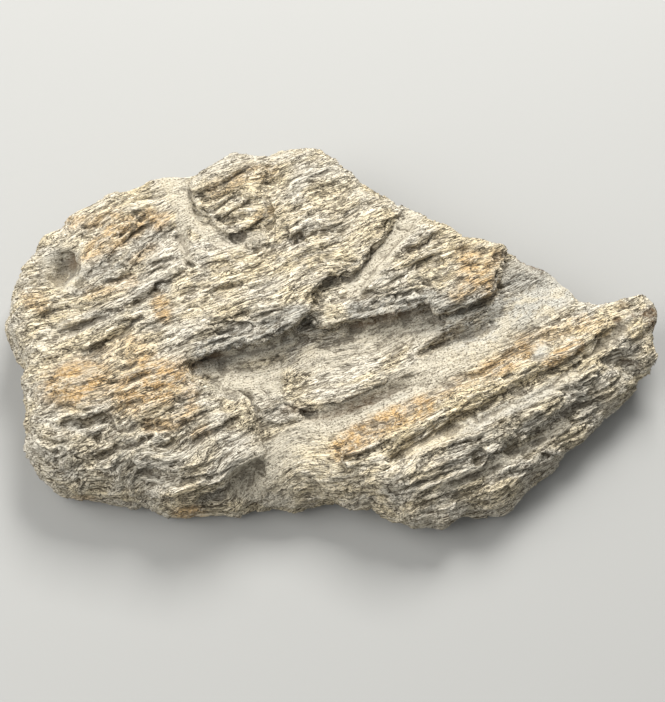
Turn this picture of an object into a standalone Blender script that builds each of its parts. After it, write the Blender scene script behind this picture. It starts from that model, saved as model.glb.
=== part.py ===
# Triceratops frill fragment: one broken plate of fossil bone, lying on its flatter side.
#
# The script works in millimetres and turns the finished solid to metres at the end.
# Places on the upper side are written as a viewer sees them who looks along +Y and
# down by VIEW_DOWN degrees from EYE_DISTANCE: (right, up) on a plane through the
# fragment that faces the viewer. seen_on_plan turns them into x and y, for a stated
# height above the table.

import math

import bmesh
import bpy
import numpy as np
from mathutils import Vector, noise

NAME = "frill_fragment"
MM = 0.001

# Driving dimensions
SEEN_LENGTH = 217.3
LENGTH = 217.3
VIEW_DOWN = 66.0
EYE_DISTANCE = 550.0
EYE_AIM = (0.5, -4.3)
AIM_HEIGHT = 20.0
BLANK_THICKNESS = 20.0
BLANK_CELL = 1.2
FINE_CELL = 1.0
TRIANGLES = 9400
UNDERSIDE_TUCK = 14.0
UNDERSIDE_WAVES = 5.0
UNDERSIDE_RIPPLES = 0.9
REST_PLACE = (-8.0, 0.0)
REST_RADIUS = 22.0
OVERHANG = 1.9
GRAIN_ANGLE = 31.0
RIB_HEIGHT = 0.9

# Ribs along the bone's fibres: length, width and depth of one rib, share of the height,
# and where its noise starts
RIBS = [(22, 7, 40, 2.2, 0), (13, 4.4, 30, 1.3, 5)]
RIB_MEAN = 1.6

# Wide swells of the upper side, and the broken faces' roughness: size and amount
SWELL_SIZE = (13, 11, 30)
SWELL_HEIGHT = 0.9
FACE_ROUGHNESS = [(9, 5, 1.0, 4), (4.5, 3, 0.6, 8)]

# The outline, clockwise from the left end. Each stretch has the height at which its
# edge is seen, the upper and lower height of its broken face, how far in from the
# edge the upper side is rounded, and how far the face's foot is set back.
OUTLINE = {
    "left end": (15, 16, 7, 10, 2, [
        (-102, -38), (-102.2, -29), (-101.6, -22.5), (-103, -16), (-103, -9.3), (-106.8, -2.7),
        (-108, 3.7), (-106.6, 10), (-104, 20.2), (-99.8, 26.6), (-94.6, 33.2),
    ]),
    "far edge, left": (23, 19, 7, 8, 5, [
        (-90.3, 37.3), (-87.5, 41.7), (-80.7, 44.3), (-73.5, 49.8), (-68.7, 49), (-60.7, 52), (-48.7, 53.2),
    ]),
    "far edge, middle": (24, 21, 7, 7, 6, [
        (-44.7, 54), (-36.7, 59.7), (-32.7, 61.3), (-24.7, 60.3), (-16.7, 61.7), (-4.7, 64.3), (-0.7, 61.7),
        (7.3, 55.7), (15.3, 48.7), (23.3, 44), (35.3, 39.3), (47.3, 33.7), (57.8, 31.8),
    ]),
    "far edge, right": (20, 19, 6, 7, 5, [
        (59.5, 28.8), (66, 25.8), (70.5, 24.2), (74.8, 21), (76.2, 18.4), (78.4, 17.5), (81.8, 14.2),
        (88.6, 12.7), (98, 14),
    ]),
    "right end": (14, 16, 6, 8, 3, [
        (103.8, 13.2), (107.6, 9.4), (108.6, 4.5), (106.3, 0), (106.3, -2.7), (108.8, -6.5), (107.3, -9.8),
    ]),
    "near flank, right": (5, 9, 4, 21, 0, [
        (101, -18), (97.5, -21.8), (94, -25), (90.5, -28), (87, -32.5), (83, -36), (79.5, -37.6),
        (76, -41.5), (73.5, -44.8), (66, -50.6), (60, -57), (56, -59.3), (44.5, -60),
    ]),
    "lower lobe": (5, 9, 4, 12, 0, [
        (41, -62.5), (37.5, -64.5), (33, -63.8), (27, -64.3), (18, -60.6),
    ]),
    "valley mouth": (5, 8, 4, 11, 0, [
        (12, -57), (7, -57.6), (0, -55.2), (-5, -56.2), (-12, -57.8), (-20, -57.2), (-25.5, -56.8),
        (-29, -59), (-35, -58.4), (-42, -59.8), (-48.5, -60.5), (-54, -58.8),
    ]),
    "near flank, left": (5, 9, 4, 15, 0, [
        (-62, -56.8), (-66, -57), (-75, -55.4), (-86, -54), (-92, -51.6), (-96.7, -47.3), (-100, -42.5),
    ]),
}

# Heights of the ground that the raised plates stand on, at (right, up)
FLOOR = [
    (-42, -10, 19.2), (-30, -8, 19), (-15, -5, 19), (0, 0, 19.4), (20, 4, 20), (36, 6, 20.8), (44, 5, 21.4),
    (-33, -17, 22), (-24, -24, 22.2), (-14, -34, 20.6), (-14, -46, 18.4), (-32, -50, 15), (-50, -55, 13),
    (0, -38, 20.4), (2, -50, 18), (6, -24, 20.8), (30, -12, 20.6), (50, 0, 21), (70, 12, 21.6), (84, 11, 22.3),
    (66, 24, 22.4), (22, 34, 23.4), (15, 26, 24), (30, 44, 23), (10, 17, 24.6), (100, 10, 22), (104, -6, 17),
]

# Raised plates, painted in this order. Each has the height at which its lip is seen,
# the heights of its top at (right, up), and its edge: (right, up, share of the drop
# that is a sheer step, width of the rounded shoulder behind the step).
PLATES = {
    "terrace under the middle plate": (24, [(0, 10, 26), (0, 17, 26.6), (-5, 8, 25.4), (5, 12, 25.6)], [
        (-12, 10, 0.7, 3), (-6.5, 7, 0.7, 3), (-4.5, 5.3, 0.7, 3), (-2, 3.4, 0.7, 3), (1.5, 4.4, 0.6, 3),
        (4.5, 6.5, 0.5, 4), (7.5, 12, 0.3, 5), (9.5, 18, 0.3, 5), (12, 26, 0.3, 5), (-2, 28, 0.5, 5),
        (-14, 18, 0.5, 5),
    ]),
    "tongue": (26, [(9, 13, 27), (20, 22, 29), (30, 22, 30), (45, 22, 30.4), (50, 30, 29.5), (32, 33, 28.4)], [
        (29, 41, 0.3, 3), (24.8, 34.5, 0.3, 3), (19.8, 28.5, 0.3, 3), (14.6, 22.5, 0.3, 3), (9.8, 16, 0.4, 3),
        (5, 10.5, 0.5, 3), (3, 6.5, 0.6, 4), (6, 5.8, 0.5, 6), (11, 6.8, 0.35, 8), (17, 7.8, 0.3, 8.5),
        (23, 8.8, 0.3, 8.5), (28, 10.3, 0.35, 8), (32, 11.2, 0.5, 6), (34.3, 9.4, 0.7, 4), (35.5, 7.2, 0.7, 4),
        (38, 7.8, 0.65, 4), (42, 9.8, 0.6, 4), (47, 11, 0.6, 4), (51, 13, 0.6, 4), (54.5, 15, 0.6, 4),
        (55.6, 20, 0.55, 4), (57.2, 26, 0.55, 4), (59.5, 32, 0.5, 4), (64, 50, 0.5, 4), (36, 62, 0.5, 4),
    ]),
    "ledge under the plateau": (22, [(2, -47, 22), (12, -46, 23.8), (22, -52, 22.6), (34, -58, 21)], [
        (0, -41.5, 0.2, 6), (-3, -47, 0.2, 6), (-4, -53, 0.3, 5), (-6, -75, 0.3, 5), (50, -85, 0.3, 5),
        (50, -40, 0.3, 5), (12, -35, 0.3, 5),
    ]),
    "plateau": (25, [
        (8, -36, 26), (20, -29, 27.4), (40, -18.5, 28.2), (60, -9, 28.6), (76, -2, 27.6), (90, 5, 25.8),
        (98, 9, 23.6), (20, -40, 26), (34, -36, 26.8), (50, -30, 27), (68, -20, 26.4), (84, -11, 24.4),
        (34, -52, 23), (52, -46, 23.6), (70, -36, 22.4), (88, -22, 20.6), (102, -8, 18.4), (104, 2, 21.5),
    ], [
        (3.2, -38.6, 0.7, 4), (5, -35, 0.45, 7), (12, -30.3, 0.4, 7), (20, -27.6, 0.35, 8), (30, -22.6, 0.3, 9),
        (40, -17, 0.3, 9), (50, -12, 0.3, 9), (60, -7, 0.25, 10), (70, -2, 0.25, 10), (80, 2, 0.2, 10),
        (90, 7.5, 0.15, 10), (98, 11.5, 0.1, 9), (120, 20, 0.1, 9), (125, -85, 0.1, 9), (28, -85, 0.1, 9),
        (17, -58, 0.2, 6), (12, -49, 0.3, 6), (9, -44, 0.4, 5), (5.2, -41, 0.7, 4),
    ]),
    "main plate": (26, [
        (-98, -8, 25.6), (-96, -30, 24.6), (-92, 8, 27.2), (-96, 20, 24), (-78, 34, 27.6), (-74, 20, 29.2),
        (-84, -14, 29.6), (-66, 2, 30.2), (-60, -18, 31), (-62, 40, 28.4), (-44, 12, 30.8), (-22, 14, 31.2),
        (-6, 26, 30.8), (-4, 44, 29.6), (14, 40, 28.8), (-40, -28, 29), (-34, -16, 27.4), (-28, -32, 26.4),
        (-52, -42, 27), (-76, -38, 27), (-92, -38, 25.4), (-30, 30, 29.2),
    ], [
        (27, 45, 0.6, 5), (22.5, 41, 0.7, 4), (19, 38, 0.75, 4), (18.6, 35, 0.75, 4), (16.5, 32, 0.75, 4),
        (13, 29.4, 0.7, 4), (11.6, 25.6, 0.7, 4), (8.5, 22, 0.6, 5), (4, 20.4, 0.6, 5), (0, 19.8, 0.6, 4),
        (-3, 17.6, 0.7, 3), (-6, 13.6, 0.75, 3), (-8, 10, 0.8, 3), (-10, 6.8, 0.7, 5), (-13, 3.4, 0.6, 6),
        (-17, 1, 0.45, 7), (-21, -0.2, 0.4, 7.5), (-27, -1.8, 0.4, 8), (-34, -2.8, 0.4, 7.5),
        (-40, -4.8, 0.5, 6), (-44, -6.4, 0.6, 5), (-46.6, -7.8, 0.5, 5), (-45.4, -10, 0.2, 8),
        (-40, -13, 0.05, 10), (-33, -18, 0.1, 9), (-28, -20, 0.7, 4), (-26.4, -23.5, 0.7, 4),
        (-24.4, -27, 0.5, 5), (-23.4, -32, 0.3, 7), (-22.6, -37.5, 0.6, 6), (-25.5, -39.6, 0.8, 5),
        (-29, -41, 0.8, 5), (-34, -43.5, 0.75, 6), (-38, -47, 0.75, 6), (-43, -50, 0.75, 6),
        (-50, -52.4, 0.7, 6), (-57, -54.5, 0.6, 7), (-64, -60, 0.4, 8), (-80, -85, 0.4, 8), (-130, -80, 0.4, 8),
        (-130, 70, 0.4, 8), (-30, 95, 0.4, 8), (40, 65, 0.5, 6),
    ]),
    "far block": (29, [(-36, 50, 32), (-30, 40, 32.2), (-24, 34, 31), (-26, 54, 31)], [
        (-47.5, 55, 0.3, 5), (-46.8, 47.5, 0.4, 5), (-45, 44.2, 0.5, 4), (-42.6, 42.2, 0.6, 4),
        (-39.6, 39.8, 0.6, 4), (-36.6, 36.4, 0.6, 4), (-33.6, 34.2, 0.6, 4), (-29.5, 34.4, 0.5, 4),
        (-26, 31.5, 0.4, 4), (-20.8, 30, 0.1, 6), (-21.5, 38, 0.1, 6), (-22, 46, 0.1, 6), (-21, 56, 0.1, 6),
        (-20, 80, 0.1, 6), (-50, 80, 0.5, 3),
    ]),
}

# Strokes along lines: height at which the line is seen, width on its left and on its
# right, and points (right, up, height added).
STROKES = {
    "far channel": (27, 6, 6, [
        (-56, 56, -3), (-51, 47, -3.4), (-46.5, 40.5, -3.2), (-41, 35.5, -2.8), (-33, 31, -1.8)]),
    "far channel's branch": (28, 2.5, 3.5, [(-50.5, 42, -2.4), (-49, 32, -2.6), (-46, 24.5, -2)]),
    "wall right of the scoop": (28, 2.4, 2, [(-91, 29.6, 0.4), (-86, 29.4, 1.6), (-82.6, 25, 2.2), (-82, 19, 1.2)]),
    "pocket under the knob": (28, 1.6, 2, [(-47, 25.2, -2.4), (-42, 24.6, -2.4)]),
    "groove right of the block": (29, 3.4, 3, [
        (-19.5, 60, -1.4), (-20.8, 46, -2), (-20, 34, -1.8), (-18.6, 25, -0.8)]),
    "upper left groove": (29, 3, 3, [(-84, 17.5, -2), (-76, 22.5, -2.4), (-68, 31, -2.6), (-60, 38, -1.8)]),
    "groove behind it": (29, 2.4, 3, [(-82, 14, -1.2), (-70, 20, -2.2), (-62, 28, -2.4), (-55, 34, -1.4)]),
    "groove to the channel": (30, 2.4, 3, [(-66, 12.5, -1), (-58, 17.5, -2.2), (-50, 22, -1.2)]),
    "long crack": (29.5, 1.8, 2.4, [
        (-94, 1, -1.4), (-84, 4.5, -2.4), (-74, 9, -2.4), (-64, 13, -2.2), (-57, 17, -1)]),
    "crack below it": (30, 1.8, 2.6, [
        (-88, -4, -1), (-79, -3, -2.2), (-72, 0.5, -2.4), (-65, 6.5, -2.4), (-60, 9, -1)]),
    "ledge at the lower left": (28, 3.4, 1.6, [
        (-91, -29, -1.2), (-87, -26.8, -2.6), (-81, -27.6, -2.4), (-74, -25.6, -1.6), (-69, -29.6, -2),
        (-60, -30, -1.8), (-52, -30, -1)]),
    "wavy groove": (27, 2.2, 2.2, [(-86, -41.5, -1.2), (-76, -39, -2), (-70, -35, -2.2), (-60, -33, -1.6)]),
    "eye shaped hollow, upper side": (26, 2, 3.4, [
        (-68, -41.5, -1.4), (-62, -42.6, -3), (-56, -44.5, -3.2), (-48, -47, -2.6), (-40, -46, -1.6)]),
    "slanting groove on the left lobe": (28, 1.8, 2.4, [
        (-56, -38, -1.2), (-46, -34, -2), (-38, -30, -2), (-32, -27, -1)]),
    "lower edge groove": (20, 2.4, 2.4, [(-94, -47, -1.6), (-84, -49.5, -2), (-72, -50.5, -1.6), (-62, -51, -1)]),
    "lower ridge of the trough": (24, 13, 1.8, [
        (-18, -21, 0.6), (-10, -22.4, 2.6), (-4, -22.4, 3.4), (4, -21, 3.6), (12, -17.8, 3.6), (18, -15.2, 3.4),
        (24, -12.4, 2.8), (29, -11, 1.2)]),
    "ridge past the tongue": (25, 6, 2.4, [
        (27, -4, 0.8), (32, -0.5, 2.6), (38, 2.8, 3.4), (46, 5, 3.4), (51, 8, 2.8), (57, 11.4, 1.6)]),
    "cut below the ridge": (22, 2, 3.4, [(30, -4.6, -1), (38, -0.4, -1.6), (46, 1.4, -1.6), (54, 4.6, -0.8)]),
    "groove in the main plate": (31, 2, 3, [(-44, 2, -1.2), (-34, 4.4, -2), (-26, 4.2, -2), (-17, 8, -1)]),
    "crevice on the middle plate": (30, 1.6, 2.4, [(-14, 33, -1), (-8, 34.6, -2.4), (0, 36, -2), (6, 38, -1)]),
    "crevice at its far right": (28, 1.6, 2, [(14, 36.6, -1), (19, 38.8, -2.2), (26, 41, -1.4)]),
    "groove on the tongue": (30, 1.8, 2.6, [(19, 24.4, -1.2), (28, 25, -2), (36, 26, -2), (46, 30.6, -1.2)]),
    "second groove on the tongue": (29.5, 1.8, 2.4, [(22, 28, -1), (30, 31.2, -2), (38, 35.4, -1.2)]),
    "slot in the layered edge": (26, 1.5, 2.2, [(9, 9.6, -1), (16, 11.6, -2), (24, 13.4, -2.2), (32, 15, -1.6)]),
    "main groove of the plateau": (26, 4, 5, [
        (5, -41, -1.4), (14, -38.4, -2.2), (24, -36.2, -3), (32, -32, -3.4), (41, -28.4, -3.4), (51, -23.6, -2.8),
        (61, -18.6, -2.2), (71, -12.6, -2.6), (81, -7, -3.4), (90, -1.4, -3.4), (97, 4.6, -2.4)]),
    "short groove above it": (27.5, 1.8, 2.4, [(33, -28.5, -0.6), (43, -24, -1), (52, -17.6, -0.8), (60, -12, -1)]),
    "second groove of the plateau": (25, 3, 4, [
        (30, -52, -1.4), (42, -48.6, -2.8), (52, -43.4, -3), (61, -37, -3), (70, -31, -2.8), (80, -23, -2.4),
        (90, -15, -1.4)]),
    "rib at the right end": (22, 3.4, 3, [(107, 6, 1.4), (101, 2, 2.4), (94, -3.4, 2), (86, -8.6, 1)]),
    "recess at the right end": (20, 2.2, 3, [(90, -7.4, -1.6), (96, -7.2, -3.4), (101, -8.6, -4), (105, -11, -3)]),
    "groove on the lower flank": (20, 2.6, 3, [(24, -55.6, -1.8), (34, -54.8, -1.8), (46, -50.6, -2), (56, -46, -1)]),
    "step right of the tongue": (22, 2.4, 1.6, [(59, 20.6, 0.4), (66, 20.6, 1.4), (74, 19, 1)]),
    "gully in the valley's wall": (20, 2.4, 2.4, [(-44, -52.6, -1), (-38, -51, -2.2), (-30, -48.6, -2), (-24, -44, -1)]),
}

# Pits and knobs: (right, up, height at which it is seen, half length, half width,
# turn in degrees, height added)
DIMPLES = {
    "scoop": (-88.5, 24.5, 27, 8, 5.6, 60, -5.6),
    "shallow end of the scoop": (-94, 18, 25, 9, 5, 40, -1.6),
    "notch at the far left edge": (-88, 37.4, 22, 4, 2, 0, -2.4),
    "knob by the far channel": (-44, 28, 29, 3.4, 2.4, 0, 1.4),
    "eye shaped hollow": (-60.5, -44.6, 25, 7, 3.2, -6, -1.6),
    "bright lump at the bottom": (-47.5, -57, 11, 8, 3.4, 0, 3),
    "second lump at the bottom": (-30.5, -56.6, 11, 4.4, 2.6, 10, 2.8),
    "hole under the lower ridge": (-7, -23.8, 22, 3.4, 2.2, -20, -2.6),
    "darkest place under the tongue": (8, 3.4, 21, 4, 2, 20, -1.6),
    "place under the second tip": (40, 6.4, 22, 6, 2, 10, -1.6),
    "round pale pit": (69.6, -4.2, 28, 4, 3.2, 20, -2.8),
    "slot beside it": (73, -2.2, 28, 2.6, 1.4, -10, -1.6),
    "deep hole": (49, -38.6, 26, 3.2, 2.2, 15, -3.6),
    "hole right of it": (60, -34.8, 25, 3.4, 2, 10, -2.8),
    "dent in the flank": (69, -31.4, 24, 3, 2, 20, -2),
    "lower dent": (73, -38.8, 20, 3, 1.6, -10, -1.6),
    "hollow on the flank": (82.4, -7.8, 26, 3, 2.4, 40, -1.6),
    "hollow at the far right": (95, 5.6, 24, 2.8, 2.2, 50, -1.6),
    "knob at the right end": (105.6, -6.4, 15, 4, 3.6, 0, 2.4),
    "dent on the lobe": (-79, -33, 27, 2.4, 1.4, 50, -1.4),
    "lens shaped pocket": (59.4, -12, 27, 3.4, 1.4, 24, -2),
}


def seen_on_plan(right, up, height):
    # follow the line of sight through the place down to the height
    scale = LENGTH / SEEN_LENGTH
    sine, cosine = math.sin(math.radians(VIEW_DOWN)), math.cos(math.radians(VIEW_DOWN))
    eye_x = EYE_AIM[0]
    eye_y = EYE_AIM[1] * sine - EYE_DISTANCE * cosine
    eye_z = AIM_HEIGHT + EYE_AIM[1] * cosine + EYE_DISTANCE * sine
    place_y = up * scale * sine
    place_z = AIM_HEIGHT + up * scale * cosine
    reach = (eye_z - height) / (eye_z - place_z)
    return eye_x + (right * scale - eye_x) * reach, eye_y + (place_y - eye_y) * reach


def plan_points(points, height):
    return np.array([[*seen_on_plan(point[0], point[1], height), *point[2:]] for point in points], dtype=float)


def smooth_step(values):
    t = np.clip(values, 0, 1)
    return t * t * (3 - 2 * t)


def round_step(values):
    t = np.clip(values, 0, 1)
    return np.sqrt(1 - (1 - t) ** 2)


def blend_places(places, height, x, y, reach=7.0):
    # mean of the places' values, weighted by nearness
    total = np.zeros_like(x)
    weights = np.zeros_like(x)
    for right, up, value in places:
        px, py = seen_on_plan(right, up, value if height is None else height)
        weight = 1 / ((x - px) ** 2 + (y - py) ** 2 + reach**2) ** 2
        total += weight * value
        weights += weight
    return total / weights


def nearest_on_line(line, x, y, closed):
    # distance, unit direction to the line, side and blended values at its nearest point
    count = len(line) if closed else len(line) - 1
    best = np.full(x.shape, np.inf)
    side = np.zeros_like(x)
    towards = np.zeros((2, len(x)))
    values = np.zeros((line.shape[1] - 2, len(x)))
    for index in range(count):
        a = line[index]
        b = line[(index + 1) % len(line)]
        ax, ay = b[0] - a[0], b[1] - a[1]
        along = np.clip(((x - a[0]) * ax + (y - a[1]) * ay) / (ax * ax + ay * ay), 0, 1)
        dx, dy = a[0] + along * ax - x, a[1] + along * ay - y
        distance = np.hypot(dx, dy)
        nearer = distance < best
        best[nearer] = distance[nearer]
        side[nearer] = np.sign(ax * -dy + ay * dx)[nearer]
        towards[:, nearer] = np.stack([dx, dy])[:, nearer] / np.maximum(distance[nearer], 1e-6)
        mixed = a[2:, None] + along * (b[2:] - a[2:])[:, None]
        values[:, nearer] = mixed[:, nearer]
    return best, towards, side, values


def inside_line(line, x, y):
    inside = np.zeros(x.shape, dtype=bool)
    for index in range(len(line)):
        ax, ay = line[index][:2]
        bx, by = line[(index + 1) % len(line)][:2]
        if ay == by:
            continue
        crosses = (ay > y) != (by > y)
        inside ^= crosses & (x < ax + (y - ay) * (bx - ax) / (by - ay))
    return inside


def outline_line():
    rows = []
    for seen_height, face_top, face_foot, rounding, setback, points in OUTLINE.values():
        for right, up in points:
            rows.append([*seen_on_plan(right, up, seen_height), face_top, face_foot, rounding, setback])
    return np.array(rows)


def along_edge(line, x, y):
    # face top, face foot, rounding, setback and the outward direction, blended along the outline
    chords = np.roll(line[:, :2], -1, axis=0) - np.roll(line[:, :2], 1, axis=0)
    chords /= np.hypot(chords[:, 0], chords[:, 1])[:, None]
    rows = np.column_stack([line[:, 2:], -chords[:, 1], chords[:, 0]])
    total = np.zeros((rows.shape[1], len(x)))
    weights = np.zeros_like(x)
    for place, row in zip(line, rows):
        weight = 1 / ((x - place[0]) ** 2 + (y - place[1]) ** 2 + 16) ** 2
        total += weight * row[:, None]
        weights += weight
    face_top, face_foot, rounding, setback, out_x, out_y = total / weights
    outward = np.stack([out_x, out_y]) / np.hypot(out_x, out_y)
    return face_top, face_foot, rounding, setback, outward


def outline_blank(line):
    # the outline as a flat curve, filled, given its thickness and cut into small cells
    curve = bpy.data.curves.new("outline", "CURVE")
    curve.dimensions = "2D"
    curve.fill_mode = "BOTH"
    curve.extrude = BLANK_THICKNESS / 2
    spline = curve.splines.new("POLY")
    spline.points.add(len(line) - 1)
    for point, row in zip(spline.points, line):
        point.co = (row[0], row[1], 0, 1)
    spline.use_cyclic_u = True
    guide = bpy.data.objects.new("outline", curve)
    bpy.context.scene.collection.objects.link(guide)
    depsgraph = bpy.context.evaluated_depsgraph_get()
    mesh = bpy.data.meshes.new_from_object(guide.evaluated_get(depsgraph))
    bpy.data.objects.remove(guide)
    weld = bmesh.new()
    weld.from_mesh(mesh)
    bmesh.ops.remove_doubles(weld, verts=weld.verts, dist=0.01)
    bmesh.ops.recalc_face_normals(weld, faces=weld.faces)
    weld.to_mesh(mesh)
    weld.free()
    return mesh


def with_modifier(mesh, kind, **settings):
    # the mesh after one modifier
    helper = bpy.data.objects.new("helper", mesh)
    bpy.context.scene.collection.objects.link(helper)
    modifier = helper.modifiers.new("step", kind)
    for key, value in settings.items():
        setattr(modifier, key, value)
    depsgraph = bpy.context.evaluated_depsgraph_get()
    result = bpy.data.meshes.new_from_object(helper.evaluated_get(depsgraph))
    bpy.data.objects.remove(helper)
    return result


def read_points(mesh):
    points = np.empty(len(mesh.vertices) * 3)
    mesh.vertices.foreach_get("co", points)
    return points.reshape(-1, 3)


def write_points(mesh, points):
    mesh.vertices.foreach_set("co", points.ravel())
    mesh.update()


def noise_at(x, y, z, size_x, size_y, size_z, shift):
    return np.array([
        noise.noise(Vector((px / size_x + shift, py / size_y - shift, pz / size_z)))
        for px, py, pz in zip(x, y, z)
    ])


def along_grain(x, y):
    turn = math.radians(GRAIN_ANGLE)
    return x * math.cos(turn) + y * math.sin(turn), y * math.cos(turn) - x * math.sin(turn)


def grain_noise(x, y, z):
    # rounded ribs along the fibres, parted by narrow clefts
    along, across = along_grain(x, y)
    bent = across + 2.5 * np.sin(along / 27)
    ribs = -RIB_MEAN
    for length, width, depth, share, shift in RIBS:
        ribs = ribs + share * np.sqrt(np.abs(noise_at(along, bent, z, length, width, depth, shift)))
    return ribs


def paint_plates(x, y):
    # heights of the upper side, and how far the lips are pushed out over their steps
    height = blend_places(FLOOR, None, x, y)
    push = np.zeros((2, len(x)))
    for lip_height, tops, edge in PLATES.values():
        line = plan_points(edge, lip_height)
        inside = inside_line(line, x, y)
        distance, towards, _, (sheer, shoulder) = nearest_on_line(line, x, y, True)
        depth = np.where(inside, distance, -distance)
        rise = sheer * smooth_step((depth + 0.5) / 1.0) + (1 - sheer) * round_step(depth / shoulder)
        height += (blend_places(tops, None, x, y) - height) * rise
        outward = np.where(inside, towards, -towards)
        strength = OVERHANG * smooth_step((sheer - 0.35) / 0.25) * np.exp(-((depth / 3.6) ** 2))
        push += outward * strength * np.where(inside, 1.0, -0.8)
    return height, push


def add_strokes(x, y, height):
    for seen_height, width_left, width_right, points in STROKES.values():
        line = plan_points(points, seen_height)
        distance, _, side, (amount,) = nearest_on_line(line, x, y, False)
        width = np.where(side > 0, width_left, width_right)
        height += amount * smooth_step(1 - distance / width)


def add_dimples(x, y, height):
    for right, up, seen_height, half_length, half_width, turn, amount in DIMPLES.values():
        px, py = seen_on_plan(right, up, seen_height)
        cosine, sine = math.cos(math.radians(turn)), math.sin(math.radians(turn))
        along = ((x - px) * cosine + (y - py) * sine) / half_length
        across = ((y - py) * cosine - (x - px) * sine) / half_width
        height += amount * smooth_step(1.25 - np.hypot(along, across) * 1.05)


def underside(x, y, depth, face_foot):
    # gently waved, and worn flat where it rests
    along, across = along_grain(x, y)
    waves = UNDERSIDE_WAVES * (noise_at(along, across, 0 * x, 46, 24, 1, 3) - 0.02)
    waves += UNDERSIDE_RIPPLES * noise_at(along, across, 0 * x, 20, 8, 1, 9)
    far_from_rest = smooth_step(np.hypot(x - REST_PLACE[0], y - REST_PLACE[1]) / REST_RADIUS - 0.6)
    hollow = np.maximum(waves, 0) * far_from_rest
    return hollow + (face_foot - hollow) * (1 - round_step(depth / UNDERSIDE_TUCK))


def shape_blank(mesh, line):
    points = read_points(mesh)
    x, y = points[:, 0].copy(), points[:, 1].copy()
    share = np.clip(points[:, 2] / BLANK_THICKNESS + 0.5, 0, 1)
    distance, _, _, _ = nearest_on_line(line, x, y, True)
    depth = np.where(inside_line(line, x, y), distance, 0)
    face_top, face_foot, rounding, setback, outward = along_edge(line, x, y)
    height, push = paint_plates(x, y)
    add_strokes(x, y, height)
    add_dimples(x, y, height)
    # the ribs are lower on the smooth channel floors than on the plates
    rib_height = RIB_HEIGHT * (0.3 + 0.7 * smooth_step((height - 22.5) / 4))
    height += rib_height * grain_noise(x, y, height) + SWELL_HEIGHT * noise_at(x, y, height, *SWELL_SIZE, 2)
    top = face_top + (height - face_top) * round_step(depth / rounding)
    foot = underside(x, y, depth, face_foot)
    points[:, 2] = foot + (top - foot) * share
    # lips reach out over their steps on the upper side only
    upper = smooth_step(share * 2 - 1) * smooth_step(depth / 6)
    points[:, :2] += (push * upper).T
    # the broken faces are rough, and lean in towards their foot
    near_edge = 1 - smooth_step(depth / 10)
    rough = 0
    for width, tall, amount, shift in FACE_ROUGHNESS:
        rough = rough + amount * noise_at(x, y, points[:, 2], width, width, tall, shift)
    reach = (0.9 + 0.25 * setback * (1 - share)) * rough - 0.2 - setback * (1 - share) ** 2
    points[:, :2] += (outward * near_edge * reach).T
    write_points(mesh, points)


def settle(mesh):
    # flatten what rests, put the origin under the middle, and turn millimetres to metres
    points = read_points(mesh)
    lowest = points[:, 2].min()
    points[:, 2] = np.where(points[:, 2] < lowest + 0.25, lowest, points[:, 2])
    middle = (points.min(axis=0) + points.max(axis=0)) / 2
    points -= (middle[0], middle[1], lowest)
    write_points(mesh, points * MM)
    print("moved by", middle[:2].round(3), lowest.round(3))


def bone_material():
    material = bpy.data.materials.new("fossil bone")
    material.use_nodes = True
    shader = material.node_tree.nodes["Principled BSDF"]
    shader.inputs["Base Color"].default_value = (0.456, 0.402, 0.301, 1)
    shader.inputs["Roughness"].default_value = 0.9
    shader.inputs["Metallic"].default_value = 0.0
    return material


def main():
    for thing in list(bpy.data.objects):
        bpy.data.objects.remove(thing)
    line = outline_line()
    blank = with_modifier(outline_blank(line), "REMESH", mode="VOXEL", voxel_size=BLANK_CELL)
    shape_blank(blank, line)
    fine = with_modifier(blank, "REMESH", mode="VOXEL", voxel_size=FINE_CELL)
    triangles = sum(len(face.vertices) - 2 for face in fine.polygons)
    coarse = with_modifier(fine, "DECIMATE", ratio=TRIANGLES / triangles, use_collapse_triangulate=True)
    settle(coarse)
    coarse.name = NAME
    coarse.materials.append(bone_material())
    fragment = bpy.data.objects.new(NAME, coarse)
    collection = bpy.data.collections.new("triceratops frill fragment")
    bpy.context.scene.collection.children.link(collection)
    collection.objects.link(fragment)
    print(NAME, len(coarse.polygons), "triangles, size", [round(side, 4) for side in fragment.dimensions])


main()
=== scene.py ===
import math

import bmesh
import bpy
import numpy as np
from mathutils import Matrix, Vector, noise


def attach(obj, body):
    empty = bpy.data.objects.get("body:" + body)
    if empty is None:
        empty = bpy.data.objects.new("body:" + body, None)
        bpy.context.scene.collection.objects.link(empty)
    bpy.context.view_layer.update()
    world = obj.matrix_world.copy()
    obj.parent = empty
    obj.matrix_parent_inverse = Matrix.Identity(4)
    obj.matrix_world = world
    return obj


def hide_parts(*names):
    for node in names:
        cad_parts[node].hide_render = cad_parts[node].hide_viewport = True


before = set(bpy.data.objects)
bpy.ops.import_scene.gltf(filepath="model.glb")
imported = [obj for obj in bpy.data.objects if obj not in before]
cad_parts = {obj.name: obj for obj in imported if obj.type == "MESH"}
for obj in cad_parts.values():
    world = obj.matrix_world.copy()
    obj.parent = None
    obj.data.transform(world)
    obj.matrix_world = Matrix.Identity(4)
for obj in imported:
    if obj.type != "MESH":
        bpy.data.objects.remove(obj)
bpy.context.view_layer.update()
mm = 0.001


# The viewer's place. Places on the fragment are given as that viewer sees them:
# (right, up) in mm, on a plane through the fragment that faces the viewer.
viewer = {
    "centre": (-0.3, -4.7, 20.0),   # middle of that plane, in the fragment's own frame
    "aim": (0.5, -4.3),             # what the middle of the picture shows
    "down": 66,
    "distance": 550,
    "lens": 85,
}

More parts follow.
